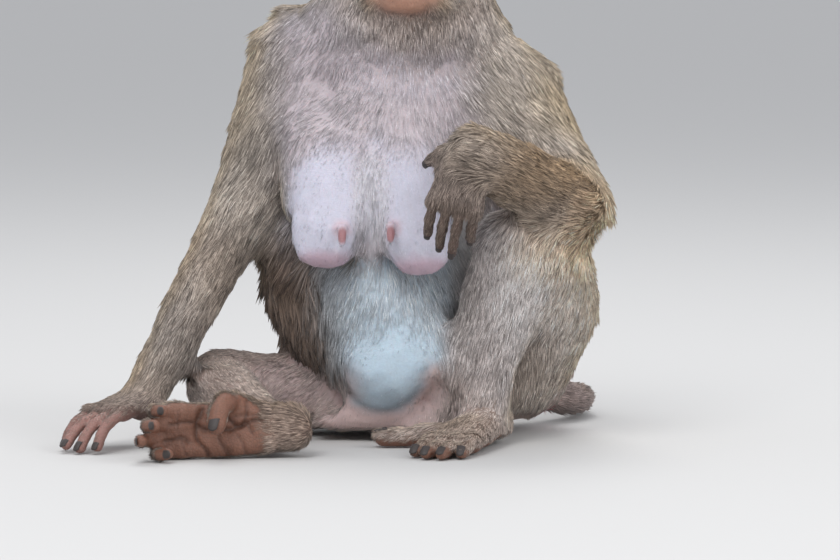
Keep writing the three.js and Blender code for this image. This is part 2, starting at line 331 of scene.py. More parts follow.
@dataclass(frozen=True)
class Limb:
    """The shape of a hand or a foot under its hair, in millimetres.

    plate is how far out the digits start, arch sets the outer ones back, and the rays are the bones
    that lead there. pads are balls of the palm or sole: place, radius and stretch. From bare_from on
    the skin is fine; facing and ends say how bare the underside and the digits are.
    """

    plate: float
    digits: tuple[float, float, float, float]
    radius: float
    first_radius: float
    spacing: float
    arch: float
    drop: float
    digit_height: float
    half_width: float
    ray_radius: float
    ray_start: float
    bare_from: float
    facing: tuple[float, float]
    ends: float
    pads: tuple[tuple[Triple, float, Triple], ...]


HAND = Limb(
    plate=42, digits=(37, 43, 41, 33), radius=3.9, first_radius=4.7, spacing=9.6, arch=1, drop=0,
    digit_height=0, half_width=22, ray_radius=7.0, ray_start=4, bare_from=36, facing=(0.15, -0.25),
    ends=0.8,
    pads=(
        ((0, -4, 0), 15.5, (1.05, 1.0, 0.72)),
        ((12, 12, -4), 9, (0.95, 1.5, 0.8)),
        ((-12, 16, -4), 8.5, (0.9, 1.7, 0.75)),
        ((0, 0, 0), 14, (1.0, 1.1, 0.85)),
    ),
)
FOOT = Limb(
    plate=76, digits=(33, 40, 39, 32), radius=4.9, first_radius=8.0, spacing=9.4, arch=2, drop=-11,
    digit_height=-13, half_width=19, ray_radius=7.6, ray_start=6, bare_from=64, facing=(-0.05, -0.4),
    ends=0.92,
    pads=(
        ((0, -9, -9), 16, (0.98, 1.0, 0.72)),
        ((0, 4, -3), 15.5, (0.95, 1.15, 0.9)),
        ((9, 26, -11), 9.5, (0.95, 1.9, 0.85)),
        ((-10, 32, -11), 8.5, (0.8, 2.6, 0.85)),
        ((0, 30, -6), 13, (1.0, 2.2, 0.62)),
        ((0, -10, -4), 15, (1.0, 1.1, 0.85)),
    ),
)


@dataclass(frozen=True)
class Pose:
    """How a hand or foot lies: the way its digits and its back face, and how the digits bend.

    The fields that start with first are the thumb's or the big toe's, drawn for her left side.
    hair_end is between which distances from the joint the hair of the digits ends.
    """

    joint: str
    side: Side
    distal: Triple
    dorsal: Triple
    curl: Triple
    first_curl: Triple
    first_forward: Triple
    first_inward: Triple
    fan: float
    first_length: float
    first_root: Triple
    hair_end: tuple[float, float]
    fat: float = 1.0
    reach: float = 1.0

    @property
    def limb(self) -> Limb:
        """Returns the shape that is posed."""
        return HAND if self.joint == "wrist" else FOOT

    @property
    def node(self) -> str:
        """Returns the name of its solid."""
        return f"{'hand' if self.joint == 'wrist' else 'foot'}_{self.side.value}"

    def frame(self) -> Matrix:
        """Turns and places the hand or foot.

        Returns:
            Its frame in the skeleton's: x across, y along the digits, z out of its back.
        """
        y = Vector(self.distal).normalized()
        x = y.cross(Vector(self.dorsal)).normalized()
        z = x.cross(y)
        turn = Matrix((x, y, z)).transposed().to_4x4()
        return Matrix.Translation(BONES.joint(self.joint, self.side)) @ turn


UNDER = (0, 0, -1)
POSES = (
    Pose(
        joint="wrist", side=Side.LEFT, distal=(-0.27, -0.08, -0.96), dorsal=(-0.1, -0.98, 0.1),
        curl=(0.4, 0.36, 0.2), first_curl=(0.6, 0.3, 0.2), first_forward=(0.7, 0.71, 0),
        first_inward=UNDER, fan=0.01, first_length=19, first_root=(18, 6, -2), hair_end=(50, 78),
        reach=0.88,
    ),
    Pose(
        joint="wrist", side=Side.RIGHT, distal=(-0.6, -0.78, -0.16), dorsal=(-0.1, -0.05, 1),
        curl=(0.15, 0.3, 0.3), first_curl=(0.1, 0.15, 0.15), first_forward=(0.64, 0.76, 0),
        first_inward=UNDER, fan=0.035, first_length=27, first_root=(20, 5, -2), hair_end=(38, 60),
        fat=1.17,
    ),
    Pose(
        joint="ankle", side=Side.LEFT, distal=(-0.34, -0.94, -0.04), dorsal=(0, 0, 1),
        curl=(0.05, 0.3, 0.35), first_curl=(0.05, 0.15, 0.1), first_forward=(0.89, 0.45, 0),
        first_inward=UNDER, fan=0.05, first_length=54, first_root=(12, 23, -12), hair_end=(90, 106),
    ),
    Pose(
        joint="ankle", side=Side.RIGHT, distal=(-1, -0.12, -0.02), dorsal=(-0.12, 0.98, -0.1),
        curl=(0.55, 0.75, 0.6), first_curl=(0.1, 0.7, 0.65), first_forward=(0.22, 0.42, -0.88),
        first_inward=(-1, 0.1, 0.0), fan=0.04, first_length=38, first_root=(17, 29, -10),
        hair_end=(80, 96),
    ),
)


@dataclass
class Digit:
    """A finger or toe: its path in its hand's or foot's frame, and its girth along it."""

    root: Vector
    length: float
    radius: float
    forward: Vector
    inward: Vector
    curl: Triple
    phalanges: Triple = (0.42, 0.32, 0.26)
    steps: int = 26

    @property
    def aside(self) -> Vector:
        """Returns the way across the digit, about which it bends."""
        return self.inward.cross(self.forward).normalized()

    def stations(self) -> list[Vector]:
        """Bends the digit at its root and at its two joints.

        Returns:
            The root, the two joints and the tip's centre.
        """
        spots = [self.root]
        bend = 0.0
        for share, turn in zip(self.phalanges, self.curl):
            bend += turn
            inward = self.forward.cross(self.aside)
            heading = self.forward * math.cos(bend) + inward * math.sin(bend)
            spots.append(spots[-1] + heading * share * self.length)
        return spots

    def path(self) -> list[tuple[Vector, Vector, float]]:
        """Samples the smooth curve through the stations.

        Returns:
            For each sample its place, the way the digit heads there, and the share of its length.
        """
        spots = self.stations()
        knots = [2 * spots[0] - spots[1], *spots, 2 * spots[-1] - spots[-2]]
        joints = np.cumsum([0, *self.phalanges])
        samples = []
        for i in range(self.steps):
            t = i / (self.steps - 1) * 3
            k = min(int(t), 2)
            u = t - k
            p0, p1, p2, p3 = knots[k : k + 4]
            square = p0 * 2 - p1 * 5 + p2 * 4 - p3
            cube = p1 * 3 - p0 - p2 * 3 + p3
            place = (p1 * 2 + (p2 - p0) * u + square * u**2) / 2
            place += cube * u**3 / 2
            slope = (p2 - p0 + square * 2 * u + cube * 3 * u**2) / 2
            share = float(joints[k] + (joints[k + 1] - joints[k]) * u)
            samples.append((place, slope.normalized(), share))
        return samples

    def girth(self, share: float) -> float:
        """Works out how thick the digit is, with knuckles and a fuller tip.

        Args:
            share: The share of its length.

        Returns:
            The radius there.
        """
        first, second = self.phalanges[0], self.phalanges[0] + self.phalanges[1]
        knuckles = 0.11 * bell(share, first, 0.07) + 0.07 * bell(share, second, 0.06)
        pad = 0.06 * bell(share, 0.93, 0.08)
        return float(self.radius * (0.97 - 0.13 * share + knuckles + pad))


class Paw:
    """One hand or foot: its digits, and the solid shapes that stand for it in the skin."""

    unevenness = 0.22
    ray_steps = 14
    first_steps = 9
    squash = 0.9
    gap = 0.6

    def __init__(self, pose: Pose) -> None:
        """Lays the digits out, the first being the thumb or the big toe.

        Args:
            pose: How the hand or foot lies.
        """
        self.pose = pose
        limb, s = pose.limb, pose.side.sign
        self.frame = pose.frame()
        self.digits: list[Digit] = []
        for i, length in enumerate(limb.digits):
            spread = 1.5 - i
            along = limb.plate - 2 - abs(spread) * limb.arch
            root = Vector((s * spread * limb.spacing, along, limb.digit_height))
            angle = s * spread * pose.fan
            forward = Vector((math.sin(angle), math.cos(angle), 0))
            bend = 1 + self.unevenness * math.sin(2.3 * i + 0.6)
            curl = tuple(turn * bend for turn in pose.curl)
            radius = limb.radius * pose.fat
            self.digits.append(Digit(root, length * pose.reach, radius, forward, Vector(UNDER), curl))
        first = (pose.first_root, pose.first_forward, pose.first_inward)
        root, forward, inward = (Vector((s * x, y, z)) for x, y, z in first)
        forward.normalize()
        length, radius = pose.first_length, limb.first_radius
        self.digits.append(Digit(root, length, radius, forward, inward, pose.first_curl))

    def resting(self, place: Vector, radius: float) -> Matrix:
        """Finds the frame at a place of the hand or foot, raised so that a ball clears the floor.

        Args:
            place: The place in the hand's or foot's own frame.
            radius: The ball's radius.

        Returns:
            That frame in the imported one.
        """
        spot = self.frame @ place
        spot.z = max(spot.z, radius * self.squash + self.gap)
        return PACKED @ Matrix.Translation(spot) @ self.frame.to_3x3().to_4x4()

    def ball(self, bm: BMesh, place: Vector, radius: float, shape: Triple = (1, 1, 1), fine: int = 2) -> None:
        """Adds a stretched ball to the mesh, placed in the hand's or foot's own frame."""
        matrix = self.resting(place, radius) @ Matrix.Diagonal((*shape, 1))
        bmesh.ops.create_icosphere(bm, subdivisions=fine, radius=radius, matrix=matrix)

    def creases(self, body: Array, normals: Array, forms: Sequence["Dab | Groove"]) -> Array:
        """Works out what forms that are drawn flat on the sole push out at places of the body.

        Args:
            body: The places.
            normals: The skin's normals there, which say what belongs to the sole.
            forms: The forms, at the sole's own height.

        Returns:
            A height for each place.
        """
        local = in_frame(self.frame, body) * (self.pose.side.sign, 1, 1)
        facing = -(normals @ np.array(self.frame.to_3x3())[:, 2])
        on_sole = ramp(facing, 0.1, 0.5) * ramp(local[:, 2], -30, -24)
        for axis, seed in ((0, 41), (1, 42)):
            local[:, axis] += 1.6 * ripple(body, 15, seed)
        local[:, 2] = SOLE_HEIGHT
        return sum(form.lift(local) for form in forms) * on_sole

    def build(self, bm: BMesh) -> None:
        """Adds the whole hand or foot to a mesh, as balls that overlap.

        Args:
            bm: The mesh.
        """
        limb, s = self.pose.limb, self.pose.side.sign
        *four, first = self.digits
        for digit in self.digits:
            for place, _, share in digit.path():
                self.ball(bm, place, digit.girth(share), (1.0, 1.0, 0.94))
        for digit in four:
            start = Vector((digit.root.x * 0.62, limb.ray_start, limb.drop + 1))
            for i in range(self.ray_steps):
                share = i / (self.ray_steps - 1)
                radius = float(limb.ray_radius + (1.2 - 2.2 * share) + 0.6 * bell(share, 0.93, 0.1))
                self.ball(bm, start.lerp(digit.root, share), radius, (1.0, 1.0, 0.98))
        for i in range(self.first_steps):
            start = Vector((s * 4, 8, limb.drop * 0.6))
            place = start.lerp(first.root, i / (self.first_steps - 1))
            self.ball(bm, place, first.radius + 2.4 - 0.2 * i, fine=3)
        for (x, y, z), radius, shape in limb.pads:
            self.ball(bm, Vector((s * x, y, z)), radius, shape, 3)


# ---- The skin's form ----------------------------------------------------------------------------


def mirrors(points: Triple | tuple[Triple, ...], mirrored: bool) -> list[Array]:
    """Returns a point or several, and where asked their mirror image too."""
    return [np.array(points) * (s, 1, 1) for s in ((1, -1) if mirrored else (1,))]


@dataclass(frozen=True)
class Dab:
    """A soft push on the skin: where, how far it reaches, and how far it pushes out."""

    at: Triple
    reach: Triple
    push: float
    mirrored: bool = False

    def lift(self, spots: Array) -> Array:
        """Adds up the push at places, which are in the frame that the dab is drawn in.

        Args:
            spots: The places.

        Returns:
            How far each is pushed out.
        """
        total = np.zeros(len(spots), np.float32)
        for centre in mirrors(self.at, self.mirrored):
            total += np.exp(-np.sum(((spots - centre) / self.reach) ** 2, axis=1))
        return total * self.push


@dataclass(frozen=True)
class Groove:
    """A crease or a ridge on the skin along a few points."""

    along: tuple[Triple, ...]
    width: float
    push: float
    mirrored: bool = False

    def lift(self, spots: Array) -> Array:
        """Finds the push at places, which are in the frame that the groove is drawn in.

        Args:
            spots: The places.

        Returns:
            How far each is pushed out, below 0 in a crease.
        """
        total = np.zeros(len(spots), np.float32)
        for line in mirrors(self.along, self.mirrored):
            total = np.maximum(total, bell(distance_to_line(spots, line), 0, self.width))
        return total * self.push


def distance_to_line(spots: Array, line: Array) -> Array:
    """Measures how far places lie from a line through a few points.

    Args:
        spots: The places.
        line: The line's points, one in a row.

    Returns:
        A distance for each place.
    """
    nearest = np.full(len(spots), np.inf)
    for a, b in zip(line[:-1], line[1:]):
        span = b - a
        share = np.clip((spots - a) @ span / (span @ span), 0, 1)
        nearest = np.minimum(nearest, distance(spots - a - share[:, None] * span))
    return nearest


SOLE_HEIGHT = -20
SOLE_PADS = tuple(
    Dab((x, y, SOLE_HEIGHT), reach, push)
    for x, y, reach, push in (
        (11, 66, (6, 6, 7), 1.8),
        (0, 68, (5, 6, 7), 1.6),
        (-11, 64, (6, 7, 7), 1.8),
        (10, 44, (7, 10, 7), 1.8),
        (-10, 36, (6, 16, 7), 1.8),
        (0, -4, (13, 12, 8), 1.2),
    )
)
SOLE_CREASES = tuple(
    Groove(tuple((x, y, SOLE_HEIGHT) for x, y in line), width, push)
    for line, width, push in (
        (((18, 52), (6, 57), (-4, 54), (-20, 46)), 1.6, -2.4),
        (((4, 55), (-1, 40), (3, 26), (6, 12)), 1.7, -2.4),
        (((18, 20), (6, 23), (-3, 18)), 1.5, -1.8),
        (((18, 40), (8, 34), (2, 24)), 1.6, -2.4),
        (((5.5, 60), (5.5, 76)), 1.4, -1.8),
        (((-5.5, 60), (-5.5, 76)), 1.4, -1.8),
        (((-18, 32), (-8, 40), (0, 41)), 1.4, -1.4),
        (((-18, 18), (-10, 26), (-4, 28)), 1.2, -1.0),
        (((14, 66), (2, 69), (-14, 62)), 1.2, -1.0),
        (((10, 30), (9, 16), (12, 6)), 1.2, -1.0),
    )
)
SOLE_FORMS = (*SOLE_PADS, *SOLE_CREASES)


@dataclass
class Face:
    """The forms of the bare face, and the lids round the eyes, in the head's frame."""

    lid: float = 1.0
    opening: tuple[float, float] = (6.6, 3.15)
    dabs: tuple[Dab, ...] = (
        Dab((14.5, -38, 13), (12, 8, 5), 1.6, True),
        Dab((0, -42, 12), (7, 8, 6), -0.8),
        Dab((6.5, -36, 3), (3.5, 8, 8), -2.2, True),
        Dab((16, -34, -8), (9, 9, 4), 1.0, True),
        Dab((25, -28, -4), (6, 8, 8), 0.8, True),
        Dab((12, -44, -14), (5, 12, 6), -1.2, True),
        Dab((0, -60, -9), (4.5, 7, 4), 0.8),
        Dab((4.6, -68, -15), (3.2, 4, 3), 1.0, True),
        Dab((0, -70, -22), (8, 6, 4), 0.7),
        Dab((12, -60, -30), (8, 9, 6), 1.0, True),
        Dab((0, -66, -43), (9, 7, 4), 0.8),
        Dab((24, -34, -26), (9, 12, 9), 1.2, True),
    )
    grooves: tuple[Groove, ...] = (
        Groove(((2.2, -74, -15.5), (3.4, -72, -18.5), (5.4, -69, -19.6)), 1.25, -3.2, True),
        Groove(((0, -75, -14), (0, -74, -25)), 0.9, -0.5),
        Groove(
            ((0, -75, -34.5), (9, -71, -35), (17, -61, -35.5), (24, -46, -34), (27, -38, -31)),
            *(1.15, -2.6, True),
        ),
        Groove(((9, -42, -9.5), (17, -38, -11.5), (24, -33, -8)), 1.0, -0.7, True),
        Groove(((8, -46, -14), (16, -42, -16.5), (22, -37, -15)), 1.0, -0.5, True),
        Groove(((10, -62, -20), (17, -52, -24), (22, -44, -30)), 1.5, -0.7, True),
    )

    def shaped(self, spots: Array, normals: Array, weight: Array) -> Array:
        """Returns where places of the head's skin go when its forms push out and its creases in."""
        lift = sum(form.lift(spots) for form in (*self.dabs, *self.grooves))
        return spots + normals * (lift * weight)[:, None]

    def almond(self, local: Array, across: float) -> Array:
        """Returns 1 on the rim of the opening between the lids, less inside it and more outside."""
        tilt = local[:, 2] + 0.6 + 0.07 * local[:, 0] * (1 if across > 0 else -1)
        return np.hypot(local[:, 0] / self.opening[0], tilt / self.opening[1])

    def rim(self, spots: Array, eye: Vector) -> Array:
        """Finds the dark edges of an eye's lids.

        Args:
            spots: Places in the head's frame.
            eye: The eyeball's centre there.

        Returns:
            How much each place belongs to the edges.
        """
        local = spots - eye
        front = ramp(-local[:, 1], 2.0, 5.0) * ramp(distance(local), 13.0, 11.0)
        return ramp(self.almond(local, eye.x), 1.34, 1.12) * front

    def lidded(self, spots: Array, eye: Vector) -> Array:
        """Wraps the skin round an eyeball as two lids with an almond opening between them.

        Args:
            spots: The skin's places in the head's frame.
            eye: The eyeball's centre there.

        Returns:
            The new places.
        """
        local = spots - eye
        reach = distance(local)
        front = ramp(-local[:, 1], -1.0, 4.0) * ramp(reach, 18.0, 13.0)
        almond = self.almond(local, eye.x)
        cover = EYE_RADIUS + self.lid - 4.2 * ramp(almond, 1.02, 0.86)
        edge = 0.45 * bell(almond, 1.1, 0.12)
        wrapped = unit(local) * (cover + edge)[:, None]
        near = ramp(almond, 2.1, 1.25) * front
        return np.array(eye) + local + (wrapped - local) * near[:, None]


class Node:
    """The order of the solids in every table that has a column for each."""

    names: list[str] = sorted(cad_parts)

    @classmethod
    def index(cls, name: str) -> int:
        """Returns a node's column."""
        return cls.names.index(name)


@dataclass(frozen=True)
class Pouch:
    """The rounded hem of the bare belly, which hangs over the groin."""

    middle: float = -26.0
    top: float = 61.0
    half_width: float = 31.0
    drop: float = 38.0
    crease: float = 4.0
    depth: float = 2.8
    setback: float = 3.0

    def reach(self, body: Array) -> Array:
        """Returns 1 on the hem, less inside it and more outside."""
        across = (body[:, 0] - self.middle) / self.half_width
        return np.hypot(across, np.minimum(body[:, 2] - self.top, 0) / self.drop)

    def edge(self, body: Array, width: float) -> Array:
        """Returns 1 along the hem, fading within a width, and 0 above it and behind it."""
        low = ramp(body[:, 2], self.top + 4, self.top - 14) * ramp(body[:, 1], -30, -44)
        return np.exp(-(((self.reach(body) - 1) * self.half_width / width) ** 2)) * low

    def lift(self, body: Array) -> Array:
        """Draws the skin in along the hem, and sets it back below.

        Args:
            body: Places of the body.

        Returns:
            How far each is pushed out, which is below 0 here.
        """
        reach = self.reach(body)
        below = ramp(reach, 1.0, 1.3) * ramp(reach, 2.1, 1.6)
        below = below * ramp(body[:, 2], self.top - 9, self.top - 26)
        return -self.edge(body, self.crease) * self.depth - below * self.setback


POUCH = Pouch()
BODY_FORMS = (
    Dab((-28, -66, 118), (44, 24, 20), 4),
    Dab((-26, -74, 44), (24, 40, 19), 7),
    POUCH,
)
FOLDS = (
    ((-34, -54, 166), (20, 24, 42)),
    ((-33, -66, 150), (9, 16, 30)),
    ((-26, -30, 15), (54, 24, 17)),
    ((24, -48, 60), (16, 20, 26)),
    ((26, -34, 30), (22, 20, 28)),
    ((-84, -44, 178), (14, 22, 26)),
    ((-76, -36, 204), (22, 20, 30)),
    ((-68, -12, 228), (15, 22, 22)),
)
HOLLOWS = (((-86, -14, 186), (30, 46, 56)), ((62, -92, 166), (40, 44, 30)), ((50, -20, 190), (24, 40, 40)))
TEATS = ((-53, -100, 145), (-20, -102, 146))
DEPTHS = {
    "trunk": 6.5,
    "neck": 7.5,
    "head": 4.0,
    "ear": 0.4,
    "breast": 0.7,
    "upper_arm": 5.5,
    "forearm": 4.8,
    "thigh": 5.0,
    "shin": 4.0,
    "tail": 3.0,
}


class Skin:
    """The one skin that stands for every node of flesh.

    voxel is the size of the mesh's squares, and swell makes the solids melt into one. The coat may
    take the share thinnest of a thin part, looked for as far in as farthest, in metres.
    """

    voxel = 1.25
    swell = 0.5
    most_points = 96_000
    floor = 0.6
    thinnest = 0.28
    farthest = 0.06
    teat_size = 13.0
    teat_reach = 11.0
    teat_rise = 6.5

    def __init__(self) -> None:
        """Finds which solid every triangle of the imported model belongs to."""
        self.paws = [Paw(pose) for pose in POSES]
        points, triangles, owners = [], [], []
        for name in Node.names:
            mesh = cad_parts[name].data
            mesh.calc_loop_triangles()
            start = sum(len(p) for p in points)
            points.append(read(mesh.vertices, "co", 3))
            corners = read(mesh.loop_triangles, "vertices", 3, np.int32)
            triangles.append(corners + start)
            owners.append(np.full(len(corners), Node.index(name)))
        self.owners = np.concatenate(owners)
        corners = np.concatenate(triangles).tolist()
        self.tree = BVHTree.FromPolygons(np.concatenate(points).tolist(), corners)

    def nearest_nodes(self, points: Array) -> Array:
        """Returns the column of the solid that lies nearest to each place."""
        find = self.tree.find_nearest
        return self.owners[[find(p)[2] for p in points.tolist()]]

    def rough(self) -> Object:
        """Melts copies of the solids, and finer hands and feet, into one closed mesh.

        Returns:
            The object that holds it.
        """
        whole = bmesh.new()
        for name in Node.names:
            if name.startswith(("hand", "foot")):
                continue
            copy = bmesh.new()
            copy.from_mesh(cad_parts[name].data)
            bmesh.ops.remove_doubles(copy, verts=copy.verts, dist=0.01 * MM)
            copy.normal_update()
            for vert in copy.verts:
                vert.co += vert.normal * self.swell * MM
            mesh = bpy.data.meshes.new(name)
            copy.to_mesh(mesh)
            copy.free()
            whole.from_mesh(mesh)
            bpy.data.meshes.remove(mesh)
        for paw in self.paws:
            paw.build(whole)
        for place, reach in FOLDS:
            matrix = PACKED @ Matrix.Translation(place) @ Matrix.Diagonal((*reach, 1))
            bmesh.ops.create_icosphere(whole, subdivisions=3, radius=1.0, matrix=matrix)
        obj = finished("skin", whole)
        melt = obj.modifiers.new("melt", "REMESH")
        melt.mode = "VOXEL"
        melt.voxel_size = self.voxel * MM
        return applied(obj)

    def bareness(self, points: Array, owners: Array) -> Array:
        """Finds where the skin keeps its finest mesh: digits, soles, ears, teats and the face.

        Args:
            points: The skin's points.
            owners: The column of the solid that each belongs to.

        Returns:
            Whether each point does.
        """
        body = to_body(points)
        keep = np.isin(owners, [Node.index("ear_left"), Node.index("ear_right")])
        head = in_frame(BONES.head(), body)
        face = (head[:, 1] < -20) & (np.abs(head[:, 0]) < 34) & (head[:, 2] > -52)
        keep |= (owners == Node.index("head")) & face
        for teat in TEATS:
            keep |= distance(body - teat) < self.teat_size
        for paw in self.paws:
            own = owners == Node.index(paw.pose.node)
            local = in_frame(paw.frame, body)
            limb = paw.pose.limb
            beyond = local[:, 1] > limb.bare_from
            under = local[:, 2] < limb.drop - 1
            aside = np.abs(local[:, 0]) > limb.half_width + 2
            keep |= own & (beyond | under | aside)
        return keep

    def thinned(self, obj: Object) -> Object:
        """Takes faces out of the skin where hair will cover it, and none where it is bare.

        Args:
            obj: The skin's object.

        Returns:
            The same object.
        """
        points = read(obj.data.vertices, "co", 3)
        keep = self.bareness(points, self.nearest_nodes(points))
        group = obj.vertex_groups.new(name="covered")
        group.add(np.nonzero(~keep)[0].tolist(), 1.0, "REPLACE")
        thin = obj.modifiers.new("thin", "DECIMATE")
        thin.ratio = self.most_points / len(points)
        thin.vertex_group = group.name
        return applied(obj)

    def build(self) -> Object:
        """Makes the skin's final form.

        Returns:
            Its object.
        """
        obj = self.thinned(self.rough())
        obj.vertex_groups.clear()
        surface = Surface.of_mesh(obj.data)
        self.surface = surface
        owners = self.nearest_nodes(surface.points)
        shares = np.zeros((len(owners), len(Node.names)), np.float32)
        shares[np.arange(len(owners)), owners] = 1.0
        self.shares = surface.smoothed(shares, 14)
        self.relax(owners)
        self.inset()
        self.sculpt()
        surface.points[:, 2] = np.maximum(surface.points[:, 2], self.floor * MM)
        obj.data.vertices.foreach_set("co", surface.points.ravel())
        obj.data.update()
        obj.data.shade_smooth()
        return obj

    def smooth(self, rounds: int, share: Array | float) -> None:
        """Smooths the skin's form by moving its points towards their neighbours."""
        self.surface.points = self.surface.smoothed(self.surface.points, rounds, share)

    def relax(self, owners: Array) -> None:
        """Smooths the joins between the solids away, less where the form is fine.

        Args:
            owners: The column of the solid that each point belongs to.
        """
        keep = self.bareness(self.surface.points, owners).astype(np.float32)
        coarse = (1.0 - self.surface.smoothed(keep, 4)) ** 2
        body = to_body(self.surface.points)
        self.smooth(30, 0.6 * coarse)
        for _ in range(30):
            self.smooth(1, 0.6 * coarse)
            self.smooth(1, -0.98 * (0.6 * coarse))
        self.relax_trunk(body, coarse)
        self.relax_head(in_frame(BONES.head(), body))
        plates = np.zeros(len(body), np.float32)
        for paw in self.paws:
            local = in_frame(paw.frame, body)
            limb = paw.pose.limb
            plate = ramp(local[:, 1], limb.plate + 4, limb.plate - 6)
            plates += self.share_of(paw.pose.node) * plate * (1.0 if limb is FOOT else 0.5)
        self.smooth(12, 0.6 * plates)
        self.smooth(3, 0.35)

    def relax_trunk(self, body: Array, coarse: Array) -> None:
        """Smooths the trunk's front, the elbow on the knee, and how the breasts and arms join on.

        Args:
            body: The skin's places before it was smoothed.
            coarse: How far each point may be smoothed.
        """
        front = self.share_of("trunk", "neck") * ramp(-self.surface.normals()[:, 1], -0.2, 0.4)
        elbow = np.exp(-np.sum(((body - BONES.joint("elbow", Side.LEFT)) / 34) ** 2, axis=1))
        self.smooth(60, 0.6 * (np.maximum(front, ramp(elbow, 0.2, 0.5)) * coarse))
        bosom = self.share_of("breast", "trunk") * ramp(body[:, 2], 158, 178) * ramp(body[:, 2], 262, 240)
        bosom += self.share_of("upper_arm") * ramp(body[:, 2], 180, 200) * ramp(body[:, 0], -104, -88)
        bosom = bosom * ramp(-self.surface.normals()[:, 1], -0.5, 0.2) * ramp(body[:, 1], 0, -26)
        self.smooth(110, 0.6 * bosom * coarse)

    def relax_head(self, spots: Array) -> None:
        """Smooths the face, most at its rim and over the brow, and the ears.

        Args:
            spots: The skin's places in the head's frame before it was smoothed.
        """
        face = np.clip(self.share_of("head", "eye") * 1.3, 0, 1)
        self.smooth(15, 0.6 * face)
        aside = np.abs(spots[:, 0])
        rim = ramp(aside, 17, 25) * ramp(aside, 46, 38)
        brow = ramp(np.abs(spots[:, 2] - 14), 14, 6) * 0.35
        self.smooth(34, 0.6 * face * np.maximum(rim, brow))
        self.smooth(5, 0.5 * self.share_of("ear"))

    def share_of(self, *stems: str) -> Array:
        """Returns how much of each point belongs to the nodes whose names start with the stems."""
        columns = [i for i, name in enumerate(Node.names) if name.startswith(stems)]
        return self.shares[:, columns].sum(axis=1)

    def inset(self) -> None:
        """Sinks the skin below the solids' surface by the depth of the coat."""
        surface = self.surface
        body = to_body(surface.points)
        depth = sum(self.share_of(stem) * deep for stem, deep in DEPTHS.items())
        normals = surface.normals()
        front = self.share_of("trunk") * ramp(-normals[:, 1], -0.1, 0.6) * ramp(body[:, 0], -72, -52)
        depth -= front * 3.8
        depth += self.share_of("trunk") * ramp(body[:, 1], 30, 70) * 1.5
        head = in_frame(BONES.head(), body)
        face = self.share_of("head") * ramp(head[:, 1], -12, -30) * ramp(np.abs(head[:, 0]), 36, 28)
        depth -= face * 3.4
        crown = self.share_of("head") * ramp(head[:, 2], 20, 34) * ramp(head[:, 1], -38, -26)
        depth += crown * 1.5
        depth -= self.share_of("thigh_right") * 2.0
        for centre, reach in HOLLOWS:
            depth *= 1 - ramp(distance((body - centre) / reach), 1.2, 0.7)
        inwards = -unit(surface.smoothed(normals, 10))
        tree = BVHTree.FromPolygons(surface.points.tolist(), surface.triangles.tolist())
        starts = (surface.points + inwards * 0.5 * MM).tolist()
        far = self.farthest
        thick = [tree.ray_cast(p, way, far)[3] or far for p, way in zip(starts, inwards.tolist())]
        depth = np.minimum(depth, np.array(thick) / MM * self.thinnest)
        surface.points = surface.points + inwards * surface.smoothed(depth * MM, 12)[:, None]

    def sculpt(self) -> None:
        """Shapes the trunk's front, the soles and the face."""
        surface = self.surface
        body = to_body(surface.points)
        normals = surface.smoothed(surface.normals(), 6)
        lift = sum(form.lift(body) for form in BODY_FORMS) * self.share_of("trunk")
        for foot in (paw for paw in self.paws if paw.pose.limb is FOOT):
            lift = lift + foot.creases(body, normals, SOLE_FORMS) * self.share_of(foot.pose.node)
        surface.points = surface.points + normals * lift[:, None] * MM
        for teat in TEATS:
            near = np.exp(-np.sum(((body - teat) / self.teat_reach) ** 2, axis=1))
            surface.points[:, 2] += near * self.teat_rise * MM
        head = BONES.head()
        face = Face()
        spots = in_frame(head, to_body(surface.points))
        weight = self.share_of("head", "eye") * ramp(spots[:, 1], -8, -22)
        near = weight > 0.01
        turn = np.array(head.to_3x3())
        normals = surface.normals()[near] @ turn
        shaped = face.shaped(spots[near], normals, weight[near])
        for side in Side:
            shaped = face.lidded(shaped, BONES.eye(side))
        points = shaped @ turn.T + np.array(head.translation)
        surface.points[near] = placed(points)


def in_frame(matrix: Matrix, points: Array) -> Array:
    """Takes places from the skeleton's frame into another one that is given in it."""
    inverse = np.array(matrix.inverted())
    return points @ inverse[:3, :3].T + inverse[:3, 3]


# ---- The regions of the coat --------------------------------------------------------------------


@dataclass(frozen=True)
class Fur:
    """The hair of one region, in millimetres and degrees, and the colours of hair and skin.

    density counts tufts in a square centimetre. base and tip are the hair's linear colours at its
    root and its end, and skin is what lies under it. mess is how far tufts stray from the lie.
    """

    length: float
    width: float
    lift: float
    density: float
    mess: float
    base: Triple
    tip: Triple
    skin: Triple
    pale: float = 0.1
    clump: float = 0.35


